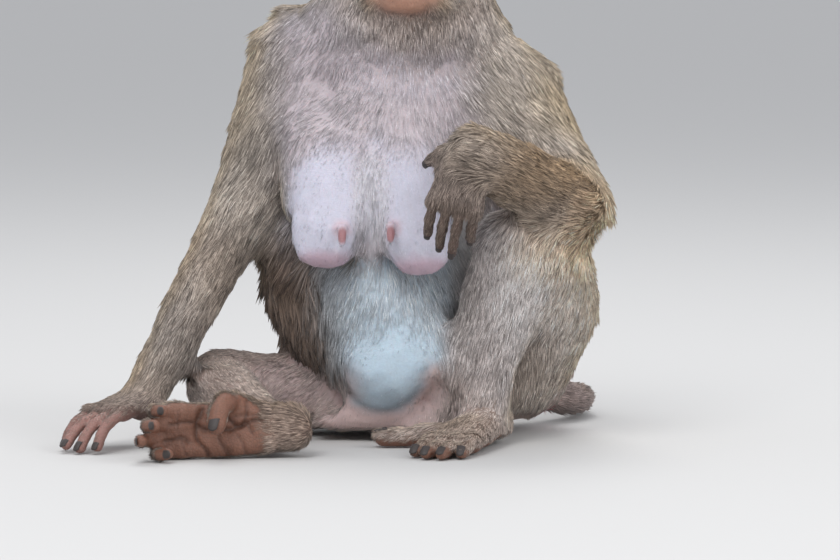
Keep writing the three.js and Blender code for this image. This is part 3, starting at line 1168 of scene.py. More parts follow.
class Region(Enum):
    """The regions of the coat, each with its hair."""

    BACK = Fur(16, 0.5, 13, 115, 0.15, (0.2, 0.145, 0.09), (0.52, 0.405, 0.265), (0.24, 0.18, 0.13), 0.2)
    # The right flank behind the thigh: brown hair, darkened almost to black with painted shade.
    FLANK = Fur(
        22, 0.55, 22, 110, 0.34, (0.055, 0.037, 0.027), (0.21, 0.15, 0.115), (0.07, 0.05, 0.04), 0.2, 0.5
    )
    CHEST = Fur(
        9, 0.25, 8, 42, 0.15, (0.5, 0.445, 0.465), (0.65, 0.595, 0.62), (0.51, 0.44, 0.465), 0.05, 0.15
    )
    BELLY = Fur(10, 0.28, 7, 50, 0.18, (0.5, 0.57, 0.62), (0.72, 0.77, 0.82), (0.51, 0.6, 0.67), 0.08, 0.2)
    POUCH = Fur(3, 0.22, 7, 4, 0.3, (0.46, 0.55, 0.63), (0.58, 0.67, 0.74), (0.475, 0.59, 0.68), 0.1, 0.1)
    BREAST = Fur(4, 0.18, 6, 8, 0.25, (0.56, 0.55, 0.62), (0.64, 0.63, 0.7), (0.55, 0.54, 0.63), 0.04, 0.1)
    NAPE = Fur(17, 0.52, 16, 115, 0.18, (0.22, 0.165, 0.115), (0.54, 0.44, 0.32), (0.25, 0.19, 0.14), 0.2)
    BEARD = Fur(
        13.5, 0.4, 16, 130, 0.2, (0.27, 0.21, 0.175), (0.68, 0.565, 0.48), (0.33, 0.25, 0.205), 0.2, 0.3
    )
    CROWN = Fur(10.5, 0.46, 13, 130, 0.16, (0.19, 0.13, 0.08), (0.47, 0.355, 0.225), (0.24, 0.17, 0.12), 0.2)
    CHEEK = Fur(11, 0.44, 18, 130, 0.2, (0.28, 0.21, 0.17), (0.6, 0.5, 0.42), (0.38, 0.26, 0.2), 0.2)
    FACE = Fur(2.4, 0.2, 8, 10, 0.25, (0.44, 0.28, 0.2), (0.5, 0.35, 0.26), (0.42, 0.235, 0.165), 0.1, 0.1)
    EAR = Fur(3.5, 0.26, 16, 30, 0.3, (0.36, 0.26, 0.2), (0.52, 0.41, 0.33), (0.42, 0.25, 0.19), 0.1, 0.1)
    UPPER_ARM = Fur(
        12.5, 0.42, 9, 135, 0.12, (0.23, 0.19, 0.15), (0.62, 0.53, 0.44), (0.29, 0.235, 0.2), 0.24, 0.22
    )
    FOREARM = Fur(
        11, 0.4, 10, 150, 0.12, (0.15, 0.115, 0.09), (0.53, 0.43, 0.34), (0.22, 0.17, 0.135), 0.26, 0.22
    )
    HAND = Fur(
        7, 0.34, 10, 170, 0.16, (0.1, 0.072, 0.058), (0.36, 0.285, 0.235), (0.11, 0.072, 0.058), 0.24, 0.2
    )
    PALM = Fur(2.5, 0.25, 8, 6, 0.3, (0.08, 0.05, 0.04), (0.15, 0.11, 0.09), (0.085, 0.045, 0.037), 0.1, 0.1)
    THIGH = Fur(
        12.5, 0.42, 10, 135, 0.13, (0.28, 0.22, 0.18), (0.72, 0.61, 0.51), (0.3, 0.235, 0.19), 0.24, 0.24
    )
    INNER_THIGH = Fur(
        6, 0.3, 7, 95, 0.12, (0.4, 0.3, 0.265), (0.58, 0.46, 0.41), (0.46, 0.33, 0.3), 0.08, 0.15
    )
    SHIN = Fur(
        11.5, 0.4, 9, 150, 0.12, (0.33, 0.275, 0.24), (0.78, 0.69, 0.64), (0.32, 0.27, 0.24), 0.24, 0.22
    )
    FOOT = Fur(7.5, 0.36, 10, 170, 0.15, (0.22, 0.16, 0.13), (0.6, 0.48, 0.4), (0.23, 0.155, 0.12), 0.24, 0.2)
    SOLE = Fur(2.5, 0.25, 8, 1, 0.3, (0.12, 0.08, 0.06), (0.2, 0.15, 0.12), (0.2, 0.09, 0.057), 0.1, 0.1)
    TAIL = Fur(
        11, 0.42, 17, 150, 0.18, (0.11, 0.08, 0.07), (0.36, 0.275, 0.24), (0.15, 0.11, 0.1), 0.24, 0.25
    )
    GROIN = Fur(4, 0.24, 7, 26, 0.2, (0.52, 0.39, 0.37), (0.62, 0.5, 0.48), (0.66, 0.5, 0.48), 0.05, 0.1)


REGIONS = list(Region)


def column(name: str) -> Array:
    """Returns one number or colour of every region, one region in a row."""
    return np.array([getattr(region.value, name) for region in REGIONS], np.float32)


@dataclass(frozen=True)
class Spot:
    """A place with soft edges, where something about the coat changes.

    It fades from inner to outer times its reach.
    """

    at: Triple
    reach: Triple
    outer: ClassVar[float] = 1.3
    inner: ClassVar[float] = 0.5

    def strength(self, places: Array, mirrored: bool = False) -> Array:
        """Returns from 0 to 1 how much each place belongs to it, or to its mirror image."""
        far = [distance((places - at) / self.reach) for at in mirrors(self.at, mirrored)]
        return ramp(np.min(far, axis=0), self.outer, self.inner)


@dataclass(frozen=True)
class Mark(Spot):
    """A spot where the skin and the hair on it change colour, and where the hair thins."""

    skin: Triple
    amount: float = 1.0
    bald: float = 0.0
    hair: Triple | None = None
    in_head: bool = False
    mirrored: bool = False
    outer: ClassVar[float] = 1.25
    inner: ClassVar[float] = 0.6


@dataclass(frozen=True)
class Tint(Spot):
    """A spot where the hair is darker, lighter or warmer, as a factor for each colour."""

    factor: Triple
    outer: ClassVar[float] = 1.4
    inner: ClassVar[float] = 0.4


TINTS = (
    Tint((-8, -60, 260), (56, 40, 18), (1.1, 1.14, 1.2)),
    Tint((78, -98, 188), (56, 44, 26), (0.74, 0.65, 0.53)),
    Tint((-90, -124, 24), (40, 32, 30), (0.7, 0.64, 0.58)),
    # Painted light: the hair of the left elbow and knee is lightened where the forearm shades them.
    Tint((114, -60, 156), (26, 34, 26), (1.58, 1.42, 1.22)),
    Tint((84, -76, 140), (26, 34, 22), (1.38, 1.28, 1.13)),
    Tint((70, -90, 104), (24, 34, 40), (1.22, 1.26, 1.27)),
    Tint((52, -72, 44), (24, 30, 26), (0.86, 0.86, 0.86)),
    Tint((104, -40, 96), (24, 40, 50), (1.18, 1.2, 1.22)),
    Tint((-100, -10, 220), (28, 44, 54), (0.8, 0.8, 0.8)),
    Tint((94, -30, 236), (26, 30, 30), (0.9, 0.86, 0.76)),
    Tint((-168, -40, 80), (26, 30, 50), (1.05, 1.1, 1.17)),
)


@dataclass(frozen=True)
class Shag(Spot):
    """A spot where the hair is longer, as a share, and stands off more, in degrees."""

    longer: float
    lift: float


SHAGS = (
    Shag((-8, -60, 274), (60, 40, 15), -0.25, -4),
    Shag((122, -62, 156), (24, 34, 34), 0.5, 4),
    Shag((36, -128, 222), (34, 30, 20), 0.2, 3),
    Shag((30, -134, 192), (22, 30, 18), 0.3, 2),
    Shag((84, -110, 200), (34, 30, 24), 0.2, 4),
    Shag((-84, -30, 100), (24, 40, 44), 0.35, 4),
    Shag((78, 62, 22), (26, 26, 20), 0.8, 10),
    Shag((-120, -100, 40), (40, 26, 16), 0.5, 10),
    Shag((-98, -126, 30), (26, 20, 16), 0.7, 8),
    Shag((-110, 30, 262), (30, 40, 40), 0.15, 2),
)
PINK = (0.33, 0.16, 0.17)
MARKS = (
    Mark((-53, -98, 153), (8, 10, 8), (0.6, 0.44, 0.48), 0.6, 0.8),
    Mark((-20, -100, 154), (8, 10, 8), (0.6, 0.44, 0.48), 0.6, 0.8),
    Mark((-53, -106, 149), (4.5, 8, 6.5), PINK, 1.0, 1.0),
    Mark((-20, -108, 150), (4.5, 8, 6.5), PINK, 1.0, 1.0),
    Mark((-34, -84, 172), (13, 40, 36), (0.62, 0.61, 0.67), 0.8, 0.0, (0.76, 0.74, 0.79)),
    Mark((-30, -44, 8), (62, 24, 15), (0.58, 0.43, 0.41), 0.85, 0.6, (0.55, 0.44, 0.41)),
    Mark((36, -38, 120), (18, 40, 70), (0.4, 0.36, 0.34), 0.7, 0.0, (0.5, 0.45, 0.42)),
    Mark((-232, -108, 12), (46, 46, 28), (0.36, 0.185, 0.155), 0.8, 0.0, (0.4, 0.29, 0.25)),
    Mark((-76, -24, 40), (52, 44, 22), (0.58, 0.44, 0.43), 0.75, 0.45, (0.58, 0.47, 0.44)),
    Mark((28, -44, 34), (18, 30, 40), (0.62, 0.49, 0.47), 0.85, 0.4, (0.6, 0.5, 0.46)),
    Mark((20, -137, 158), (26, 24, 22), (0.1, 0.06, 0.048), 0.7, 0.0, (0.2, 0.145, 0.115)),
    Mark((-66, -92, 124), (32, 30, 14), (0.46, 0.3, 0.36), 0.75, 0.8),
    Mark((2, -98, 120), (32, 30, 14), (0.46, 0.3, 0.36), 0.75, 0.8),
    Mark((88, 62, 12), (20, 22, 14), (0.5, 0.13, 0.14), 0.95, 0.95),
    Mark((92, 54, 34), (24, 22, 13), (0.4, 0.3, 0.28), 0.8, 0.0, (0.6, 0.53, 0.45)),
    Mark((-70, -78, 40), (34, 40, 26), (0.4, 0.29, 0.27), 0.5, 0.3),
    Mark((0, -54, -47), (20, 24, 12), (0.36, 0.19, 0.13), 0.8, 0.0, None, True),
    Mark((0, -71, -34.5), (24, 16, 3.4), (0.26, 0.105, 0.09), 0.75, 0.8, None, True),
    Mark((0, -70, -14), (9, 8, 7), (0.33, 0.17, 0.13), 0.6, 0.9, None, True),
    Mark((14.5, -40, 3), (11, 8, 8), (0.5, 0.34, 0.27), 0.55, 0.7, None, True, True),
    Mark((25, -30, -10), (12, 14, 11), (0.5, 0.25, 0.19), 0.5, 0.2, None, True, True),
    Mark((0, -38, 16), (28, 10, 6), (0.38, 0.22, 0.165), 0.5, 0.0, (0.16, 0.12, 0.09), True),
)


class Regions:
    """How much each point of the skin belongs to each region of the coat."""

    def __init__(self, skin: Skin, body: Array, normals: Array) -> None:
        """Fills the table, one part of the body after the other.

        Args:
            skin: The finished skin.
            body: Its points in millimetres.
            normals: Its normals.
        """
        self.skin, self.body, self.normals = skin, body, normals
        self.share = skin.share_of
        self.soft = skin.surface.smoothed(normals, 8)
        self.front = ramp(-self.soft[:, 1], -0.15, 0.45)
        self.weights = {region: np.zeros(len(body), np.float32) for region in REGIONS}
        self.trunk()
        self.bosom()
        self.neck()
        self.head()
        self.limbs()
        for paw in skin.paws:
            self.paw(paw)

    def trunk(self) -> None:
        """Parts the trunk into the chest, the bare belly with its pouch, the groin, flanks and back."""
        x, y, z = self.body.T
        weights, trunk = self.weights, self.share("trunk")
        wander = 7 * ripple(self.body, 40, 11)
        middle = ramp(x, -72 + wander, -50 + wander) * ramp(x, 62, 40)
        low = ramp(z, 168, 140)
        weights[Region.CHEST] = trunk * self.front * (1 - low)
        limit = np.interp(x, (-44, -4), (33, 56))
        groin = ramp(POUCH.reach(self.body) + 0.06 * ripple(self.body, 9, 12), 0.97, 1.1)
        groin = np.maximum(groin * ramp(z, limit + 7, limit - 7), ramp(z, 20, 10))
        pouch = ramp(np.hypot((x + 18) / 38, (z - 46) / 40) + 0.1 * ripple(self.body, 18, 12), 1.25, 0.62)
        belly = trunk * self.front * low * middle
        weights[Region.GROIN] = belly * groin
        weights[Region.POUCH] = belly * (1 - groin) * pouch
        weights[Region.BELLY] = belly * (1 - groin) * (1 - pouch)
        flank = trunk * low * (1 - middle) * ramp(-self.soft[:, 1], -0.75, -0.1)
        # The right flank takes the FLANK hair, brown darkened with painted shade.
        weights[Region.FLANK] = flank * ramp(x, 30, 0)
        weights[Region.INNER_THIGH] = flank - weights[Region.FLANK]
        weights[Region.BACK] = np.maximum(trunk - sum(weights.values()), 0)

    def bosom(self) -> None:
        """Parts the thinly haired breasts off the chest, with the haired cleft between them."""
        x, y, z = self.body.T
        weights = self.weights
        aside = np.abs(x + 34)
        width = np.interp(z, (150, 188, 218), (62, 50, 32)) + 3 * ripple(self.body, 18, 15)
        bosom = ramp(z + 4 * ripple(self.body, 18, 15), 222, 190) * ramp(aside - width, 10, -6)
        cleft = ramp(aside, 15, 6) * ramp(z, 212, 196)
        chest = weights[Region.CHEST] + self.share("breast")
        weights[Region.BREAST] = chest * bosom * (1 - cleft)
        weights[Region.CHEST] = chest - weights[Region.BREAST]

    def neck(self) -> None:
        """Parts the neck into the beard, the upper edge of the chest and the nape."""
        x, y, z = self.body.T
        weights, neck = self.weights, self.share("neck")
        throat = ramp(-self.soft[:, 1], 0.0, 0.5)
        edge = 262 + 0.014 * (x + 2) ** 2 + 8 * ripple(self.body, 12, 13)
        weights[Region.BEARD] = neck * throat * ramp(z, edge - 24, edge + 36)
        weights[Region.CHEST] += neck * throat * ramp(z, edge + 36, edge - 24)
        weights[Region.NAPE] = neck * (1 - throat)

    def head(self) -> None:
        """Parts the head into the bare face, the beard, the cheeks, the crown and the ears."""
        weights, skull = self.weights, self.share("head", "eye")
        x, y, z = in_frame(BONES.head(), self.body).T
        x = np.abs(x)
        wide = np.interp(z, (-60, -50, -36, -18, 0, 9, 15, 20), (14, 21, 25, 27, 29, 26, 20, 0))
        bare = ramp(x - wide + 1.5 * ripple(self.body, 8, 17), 4, -4) * ramp(y, -8, -20)
        chin = bare * ramp(x, 20, 12) * ramp(y, -44, -56)
        beard = ramp(z + 0.35 * x, -36, -46) * ramp(y, -70, -58) * (1 - chin)
        cheek = ramp(z, 4, -10) * ramp(x, 22, 32)
        weights[Region.FACE] = skull * bare * (1 - beard)
        weights[Region.BEARD] += skull * beard
        weights[Region.CHEEK] = skull * (1 - bare) * (1 - beard) * cheek
        weights[Region.CROWN] = skull * (1 - bare) * (1 - beard) * (1 - cheek)
        weights[Region.EAR] = self.share("ear")

    def limbs(self) -> None:
        """Parts the arms, the legs and the tail, with their smooth inner sides."""
        x, y, z = self.body.T
        weights, share = self.weights, self.share
        armpit = share("upper_arm_right") * ramp(-x, 106, 88) * self.front * ramp(z, 172, 196)
        sandy = ramp(x + 5 * ripple(self.body, 20, 16), 22, 50) * ramp(z, 170, 196)
        weights[Region.UPPER_ARM] = share("upper_arm") - armpit + weights[Region.CHEST] * sandy
        weights[Region.CHEST] = armpit + weights[Region.CHEST] * (1 - sandy)
        weights[Region.FOREARM] = share("forearm")
        inner = ramp(self.soft[:, 0], -0.2, -0.7) * share("thigh_left")
        smooth = share("thigh_right") * 0.9 + inner * 0.5
        weights[Region.INNER_THIGH] += smooth
        weights[Region.INNER_THIGH] += share("shin_right") * 0.6
        weights[Region.THIGH] = share("thigh") - smooth + share("shin_right") * 0.4
        weights[Region.SHIN] = share("shin_left")
        weights[Region.TAIL] = share("tail")

    def paw(self, paw: Paw) -> None:
        """Parts a hand or foot into its haired back and its bare underside and fingertips.

        Args:
            paw: The hand or foot.
        """
        pose, limb = paw.pose, paw.pose.limb
        local = in_frame(paw.frame, self.body)
        slope = self.skin.surface.smoothed(self.normals, 3) @ np.array(paw.frame.to_3x3())[:, 2]
        under = ramp(slope, *limb.facing)
        if limb is FOOT:
            under = under * ramp(local[:, 1] + 3 * ripple(self.body, 12, 18), 0, 16)
        ends = ramp(local[:, 1] + 4 * ripple(self.body, 7, 19), *pose.hair_end)
        bare = np.maximum(under, ends * limb.ends)
        tips = np.array([digit.stations()[-1] for digit in paw.digits])
        to_tip = distance(local[:, None] - tips[None]).min(axis=1)
        bare = np.maximum(bare, ramp(to_tip, limb.radius * 2.0, limb.radius * 1.3))
        furry, naked = (Region.HAND, Region.PALM) if limb is HAND else (Region.FOOT, Region.SOLE)
        self.weights[furry] += self.share(pose.node) * (1 - bare)
        self.weights[naked] += self.share(pose.node) * bare

    def table(self) -> Array:
        """Smooths the weights and makes each point's sum 1.

        Returns:
            A row for each point and a column for each region.
        """
        table = np.stack([np.maximum(self.weights[region], 0) for region in REGIONS], axis=1)
        table = self.skin.surface.smoothed(table, 3)
        return table / np.maximum(table.sum(axis=1, keepdims=True), 1e-6)


BONE_ENDS = (
    ("upper_arm", "shoulder", "elbow"),
    ("forearm", "elbow", "wrist"),
    ("thigh", "hip", "knee"),
    ("shin", "knee", "ankle"),
)
TAIL_ROUTE = ((72, 80), (102, 106), (118, 142), (112, 182), (88, 216), (56, 238))


class Coatmap:
    """What the coat is like at every point of the skin: region, lie, length and colours."""

    lid_rim = (0.075, 0.04, 0.033)
    # Factors for the sides in light and in shade: painted light over the coat's own colouring.
    golden = np.array((1.04, 0.97, 0.84))
    cool = np.array((1.0, 1.02, 1.07))

    def __init__(self, skin: Skin) -> None:
        """Works the tables out.

        Args:
            skin: The finished skin.
        """
        self.skin, self.share, self.surface = skin, skin.share_of, skin.surface
        self.normals = self.surface.normals()
        self.body = to_body(self.surface.points)
        self.head = in_frame(BONES.head(), self.body)
        self.weights = Regions(skin, self.body, self.normals).table()
        self.total = np.zeros_like(self.body)
        self.lie = self.directions()
        self.table = {name: self.weights @ column(name) for name in Fur.__dataclass_fields__}
        for name in ("base", "tip"):
            self.table[name] = self.surface.smoothed(self.table[name], 10)
        self.warm()
        self.spot()
        self.darken()
        self.shorten()

    def of(self, *regions: Region) -> Array:
        """Returns how much each point belongs to some regions together."""
        return sum(self.weights[:, REGIONS.index(region)] for region in regions)

    def warm(self) -> None:
        """Gives the coat a warmer, yellower tint on the sides that face out, back and up, and a bluer, greyer
        one on the inner sides: partly the coat's own colouring, partly painted sunlight and painted shade.
        """
        soft = self.surface.smoothed(self.normals, 12)
        side = self.share("upper_arm_left", "thigh_left", "shin_left", "forearm_left")
        side -= self.share("upper_arm_right", "forearm_right")
        outer = soft[:, 1] * 0.7 + soft[:, 0] * side * 0.75 + soft[:, 2] * 0.25
        sunlit = ramp(outer + 0.12 * ripple(self.body, 45, 14), -0.35, 0.75)[:, None]
        furry = self.weights @ (column("length") > 6).astype(np.float32)
        dark = self.of(Region.FLANK, Region.BELLY, Region.CHEST)
        furry = (furry * (1 - np.clip(dark, 0, 1)))[:, None]
        # Painted sunlight and painted shade, mixed with the coat's own outer and inner colouring.
        tint = self.golden * sunlit + self.cool * (1 - sunlit)
        for name in ("base", "tip"):
            self.table[name] *= 1 + (tint - 1) * furry
            for place in TINTS:
                self.table[name] *= 1 + (np.array(place.factor) - 1) * place.strength(self.body)[:, None]

    def spot(self) -> None:
        """Lays the marks over the regions' colours, and the shags over their hair."""
        for mark in MARKS:
            amount = mark.strength(self.head if mark.in_head else self.body, mark.mirrored) * mark.amount
            if mark.in_head:
                amount = amount * self.share("head", "eye")
            share = amount[:, None]
            hair = np.array(mark.hair or mark.skin)
            self.table["skin"] += (mark.skin - self.table["skin"]) * share
            for name, darker in (("base", 0.8), ("tip", 1.0)):
                self.table[name] += (hair * darker - self.table[name]) * share
            self.table["density"] *= 1 - mark.bald * amount
        for shag in SHAGS:
            amount = shag.strength(self.body)
            self.table["length"] *= 1 + shag.longer * amount
            self.table["lift"] += shag.lift * amount

    def darken(self) -> None:
        """Darkens the bare skin at the rims of the lids, and paints shade into the soles' creases and a
        shadow under the pouch's hem.
        """
        for side in Side:
            rim = Face().rim(self.head, BONES.eye(side))
            self.table["skin"] += (self.lid_rim - self.table["skin"]) * rim[:, None] * 0.85
            self.table["density"] *= 1 - rim
        # Painted shade in the soles' creases.
        for foot in (paw for paw in self.skin.paws if paw.pose.limb is FOOT):
            depth = -foot.creases(self.body, self.surface.smoothed(self.normals, 6), SOLE_CREASES)
            depth = np.clip(depth / 2.4, 0, 1) * self.share(foot.pose.node)
            self.table["skin"] *= 1 - 0.5 * depth[:, None]
        # Painted shadow under the pouch's hem.
        hem = POUCH.edge(self.body, 2.6) * self.share("trunk") * ramp(self.body[:, 2], 46, 34)
        self.table["skin"] *= 1 - 0.42 * hem[:, None]

    def shorten(self) -> None:
        """Makes the hair shorter and flatter where it meets the bare face, ears, palms and soles."""
        bare = self.of(Region.FACE) + self.of(Region.EAR) + 0.8 * self.of(Region.PALM, Region.SOLE)
        near = np.clip(self.surface.smoothed(bare, 40, 0.6) * 2.4, 0, 1) * (1 - bare)
        self.table["length"] *= 1 - 0.55 * near
        self.table["lift"] *= 1 - 0.35 * near

    def mark(self, mesh: Mesh) -> None:
        """Stores the skin's colours, with the painted shade in the soles' creases and under the pouch, and
        how bare and creased it is.
        """
        bare = self.of(Region.PALM, Region.SOLE) + self.of(Region.FACE) * 0.3
        paint(mesh, self.table["skin"], np.clip(bare, 0, 1))

    def add(self, weight: Array, *heading: Array | float) -> None:
        """Adds a heading to the lie, given by its three parts, where the weight says."""
        part = np.stack(np.broadcast_arrays(*heading, weight)[:3], axis=1)
        self.total += unit(part) * weight[:, None]

    def directions(self) -> Array:
        """Combs the coat, one part of the body after the other.

        Returns:
            The way the hair lies at every point, as unit vectors along the skin.
        """
        self.comb_body()
        self.comb_limbs()
        for paw in self.skin.paws:
            self.comb_paw(paw)
        line = np.array(TAIL_ROUTE, float)
        nearest = np.argmin(distance(self.body[:, None, :2] - line[None, :, :]), axis=1)
        nearest = np.clip(nearest, 1, len(line) - 2)
        slope = unit(line[nearest + 1] - line[nearest - 1])
        self.add(self.share("tail"), slope[:, 0], slope[:, 1], -0.05)
        lie = flattened(self.total, self.normals)
        for _ in range(3):
            lie = flattened(self.surface.smoothed(lie, 5), self.normals)
        return lie

    def comb_body(self) -> None:
        """Combs the trunk, the neck and the head: down and outwards, and backwards over the crown."""
        share, x = self.share, self.body[:, 0]
        out = np.clip((x + 12) / 70, -1, 1)
        self.add(self.of(Region.BACK), out * 0.45, 0.2, -1.0)
        self.add(self.of(Region.FLANK), out * 0.25, -0.35, -1.0)
        chest = self.of(Region.CHEST, Region.UPPER_ARM, Region.BREAST)
        self.add(chest * share("trunk", "neck"), out * 1.1, -0.2, -1.0)
        self.add(self.of(Region.BELLY, Region.POUCH, Region.GROIN), out * 0.9, -0.1, -1.0)
        self.add(share("breast"), out * 0.3, -0.3, -1.0)
        self.add(self.of(Region.NAPE), np.clip((x + 6) / 50, -1, 1) * 0.8, 0.35, -0.8)
        self.add(self.of(Region.BEARD), np.clip((x + 8) / 40, -1, 1) * 0.7, -0.25, -1.0)
        sides = np.clip(self.head[:, 0] / 40, -1, 1)
        self.add(self.of(Region.CROWN), sides * 0.35, 1.0, -0.25)
        self.add(self.of(Region.CHEEK), sides * 0.75, 0.55, -0.75)
        self.add(self.of(Region.FACE), sides * 0.8, 0.5, ramp(self.head[:, 2], 2, 14) - 0.4)
        self.add(share("ear"), sides * 0.8, 0.5, 0.6)

    def comb_limbs(self) -> None:
        """Combs the arms and the legs along their bones, turned down on the thighs and upper arms."""
        for side in Side:
            for name, start, end in BONE_ENDS:
                axis = unit(BONES.joint(end, side) - BONES.joint(start, side))
                if name == "thigh":
                    axis = unit(axis * (0.35 if side is Side.LEFT else 1.0) + (0, 0.15, -0.9))
                if name == "upper_arm":
                    axis = unit(axis + (0.25 * side.sign, 0.05, -0.1))
                self.add(self.share(f"{name}_{side.value}"), *axis)

    def comb_paw(self, paw: Paw) -> None:
        """Combs a hand or foot along its digits, aside along the first, and over a foot's edges.

        Args:
            paw: The hand or foot.
        """
        pose, turn = paw.pose, np.array(paw.frame.to_3x3())
        local = in_frame(paw.frame, self.body)
        aside = ramp(local[:, 0] * pose.side.sign, 15, 24) * ramp(local[:, 1], 70, 50)
        drape = ramp(np.abs(local[:, 0]), 9, 18) * (pose.limb is FOOT)
        across = aside * paw.digits[4].forward.x * 1.5
        along = np.stack([across, 1 - aside * 0.5, -0.9 * drape], axis=1)
        self.total += unit(along @ turn.T) * self.share(pose.node)[:, None]


# ---- The coat's tufts ---------------------------------------------------------------------------


@dataclass
class Tufts:
    """Many tufts at once: each a closed spindle with a root, a waist of two corners and a tip."""

    root: Array
    normal: Array
    lie: Array
    length: Array
    width: Array
    lift: Array
    base: Array
    tip: Array
    patch: Array
    owner: Array
    waist: ClassVar[float] = 0.42
    sunk: ClassVar[float] = 0.6

    def chosen(self, pick: Array) -> "Tufts":
        """Returns the tufts that a mask or a list of numbers picks."""
        return Tufts(**{name: value[pick] for name, value in vars(self).items()})

    def mesh(self, name: str) -> Mesh:
        """Builds the tufts as one mesh with their colours and their places on the skin's unwrap.

        Args:
            name: The mesh's name.

        Returns:
            The mesh: four points and four faces for each tuft.
        """
        count = len(self.root)
        across = unit(np.cross(self.lie, self.normal))
        steep, flat = np.radians(self.lift), np.radians(self.lift * 0.25)
        up, on = self.normal, self.lie
        first = on * np.cos(steep)[:, None] + up * np.sin(steep)[:, None]
        second = on * np.cos(flat)[:, None] + up * np.sin(flat)[:, None]
        width = self.width[:, None]
        waist = self.root + first * self.length[:, None] * self.waist
        points = np.stack(
            [
                self.root - up * self.sunk * MM,
                waist + across * width * 0.5,
                waist - across * width * 0.5,
                waist + second * self.length[:, None] * (1 - self.waist),
            ],
            axis=1,
        ).reshape(-1, 3)
        points[:, 2] = np.maximum(points[:, 2], FLOOR_GAP)
        pattern = np.array([(0, 1, 2), (3, 2, 1), (0, 3, 1), (0, 2, 3)])
        corners = (np.arange(count)[:, None, None] * 4 + pattern[None]).reshape(-1)
        mesh = bpy.data.meshes.new(name)
        mesh.vertices.add(count * 4)
        mesh.vertices.foreach_set("co", points.astype(np.float32).ravel())
        mesh.loops.add(len(corners))
        mesh.loops.foreach_set("vertex_index", corners.astype(np.int32))
        mesh.polygons.add(count * 4)
        mesh.polygons.foreach_set("loop_start", np.arange(0, count * 12, 3, dtype=np.int32))
        mesh.polygons.foreach_set("use_smooth", np.ones(count * 4, bool))
        middle = self.base * 0.45 + self.tip * 0.55
        colours = np.stack([self.base, middle, middle, self.tip], axis=1).reshape(-1, 3)
        paint(mesh, colours)
        size = UNWRAP_PATCH / 2
        offsets = np.array([(0, -1), (-1, 0), (1, 0), (0, 1)]) * size
        places = (self.patch[:, None, :] + offsets[None]).reshape(-1, 2)
        layer = mesh.uv_layers.new(name="OFBake")
        layer.data.foreach_set("uv", places[corners].astype(np.float32).ravel())
        mesh.update(calc_edges=True)
        soft = [up, up + across * 0.35, up - across * 0.35, up + on * 0.3]
        normals = unit(np.stack(soft, axis=1).reshape(-1, 3))
        mesh.normals_split_custom_set_from_vertices(normals.tolist())
        return mesh


def paint(mesh: Mesh, colours: Array, extra: Array | float = 1.0) -> None:
    """Stores the colour attribute that the finishes read.

    Args:
        mesh: The mesh.
        colours: A linear colour for each vertex.
        extra: One more number for all vertices or for each.
    """
    layer = mesh.color_attributes.new("marking", "FLOAT_COLOR", "POINT")
    rgba = np.empty((len(mesh.vertices), 4), np.float32)
    rgba[:, :3] = np.clip(colours, 0, 1)
    rgba[:, 3] = extra
    layer.data.foreach_set("color", rgba.ravel())


class Unwrap:
    """The skin's own shape laid out flat: each solid's part is rolled off about its long axis."""

    def __init__(self, points: Array, owners: Array) -> None:
        """Finds each node's axis from its part of the skin, and gives it a tile.

        Args:
            points: The skin's points.
            owners: The column of the node that each belongs to.
        """
        self.axes = {}
        names = sorted(set(owners.tolist()), key=lambda k: -int(np.sum(owners == k)))
        for k in names:
            own = points[owners == k]
            centre = own.mean(axis=0)
            _, _, axes = np.linalg.svd(own[:: max(1, len(own) // 4000)] - centre, full_matrices=False)
            along = (own - centre) @ axes[0]
            self.axes[k] = (centre, axes, float(along.min()), float(along.max()))
        spots = [(0.0, 0.0, 0.5)]
        spots += [(0.5 + 0.25 * (i % 2), 0.25 * (i // 2), 0.25) for i in range(4)]
        spots += [(0.2 * (i % 5), 0.5 + 0.2 * (i // 5), 0.2) for i in range(10)]
        spots += [(0.1 * i, 0.9, 0.1) for i in range(10)]
        self.tiles = dict(zip(names, spots))

    def places(self, points: Array, owners: Array) -> Array:
        """Lays points out on the unwrap.

        Args:
            points: The points.
            owners: The column of the node that each belongs to.

        Returns:
            Each point's place.
        """
        result = np.zeros((len(points), 2))
        for k, (centre, axes, low, high) in self.axes.items():
            pick = owners == k
            local = (points[pick] - centre) @ axes.T
            turn = np.arctan2(local[:, 2], local[:, 1]) / (2 * math.pi) + 0.5
            along = np.clip((local[:, 0] - low) / (high - low), 0, 1)
            left, bottom, size = self.tiles[k]
            inner = size - 2 * UNWRAP_PATCH
            result[pick, 0] = left + UNWRAP_PATCH + turn * inner
            result[pick, 1] = bottom + UNWRAP_PATCH + along * inner
        return result


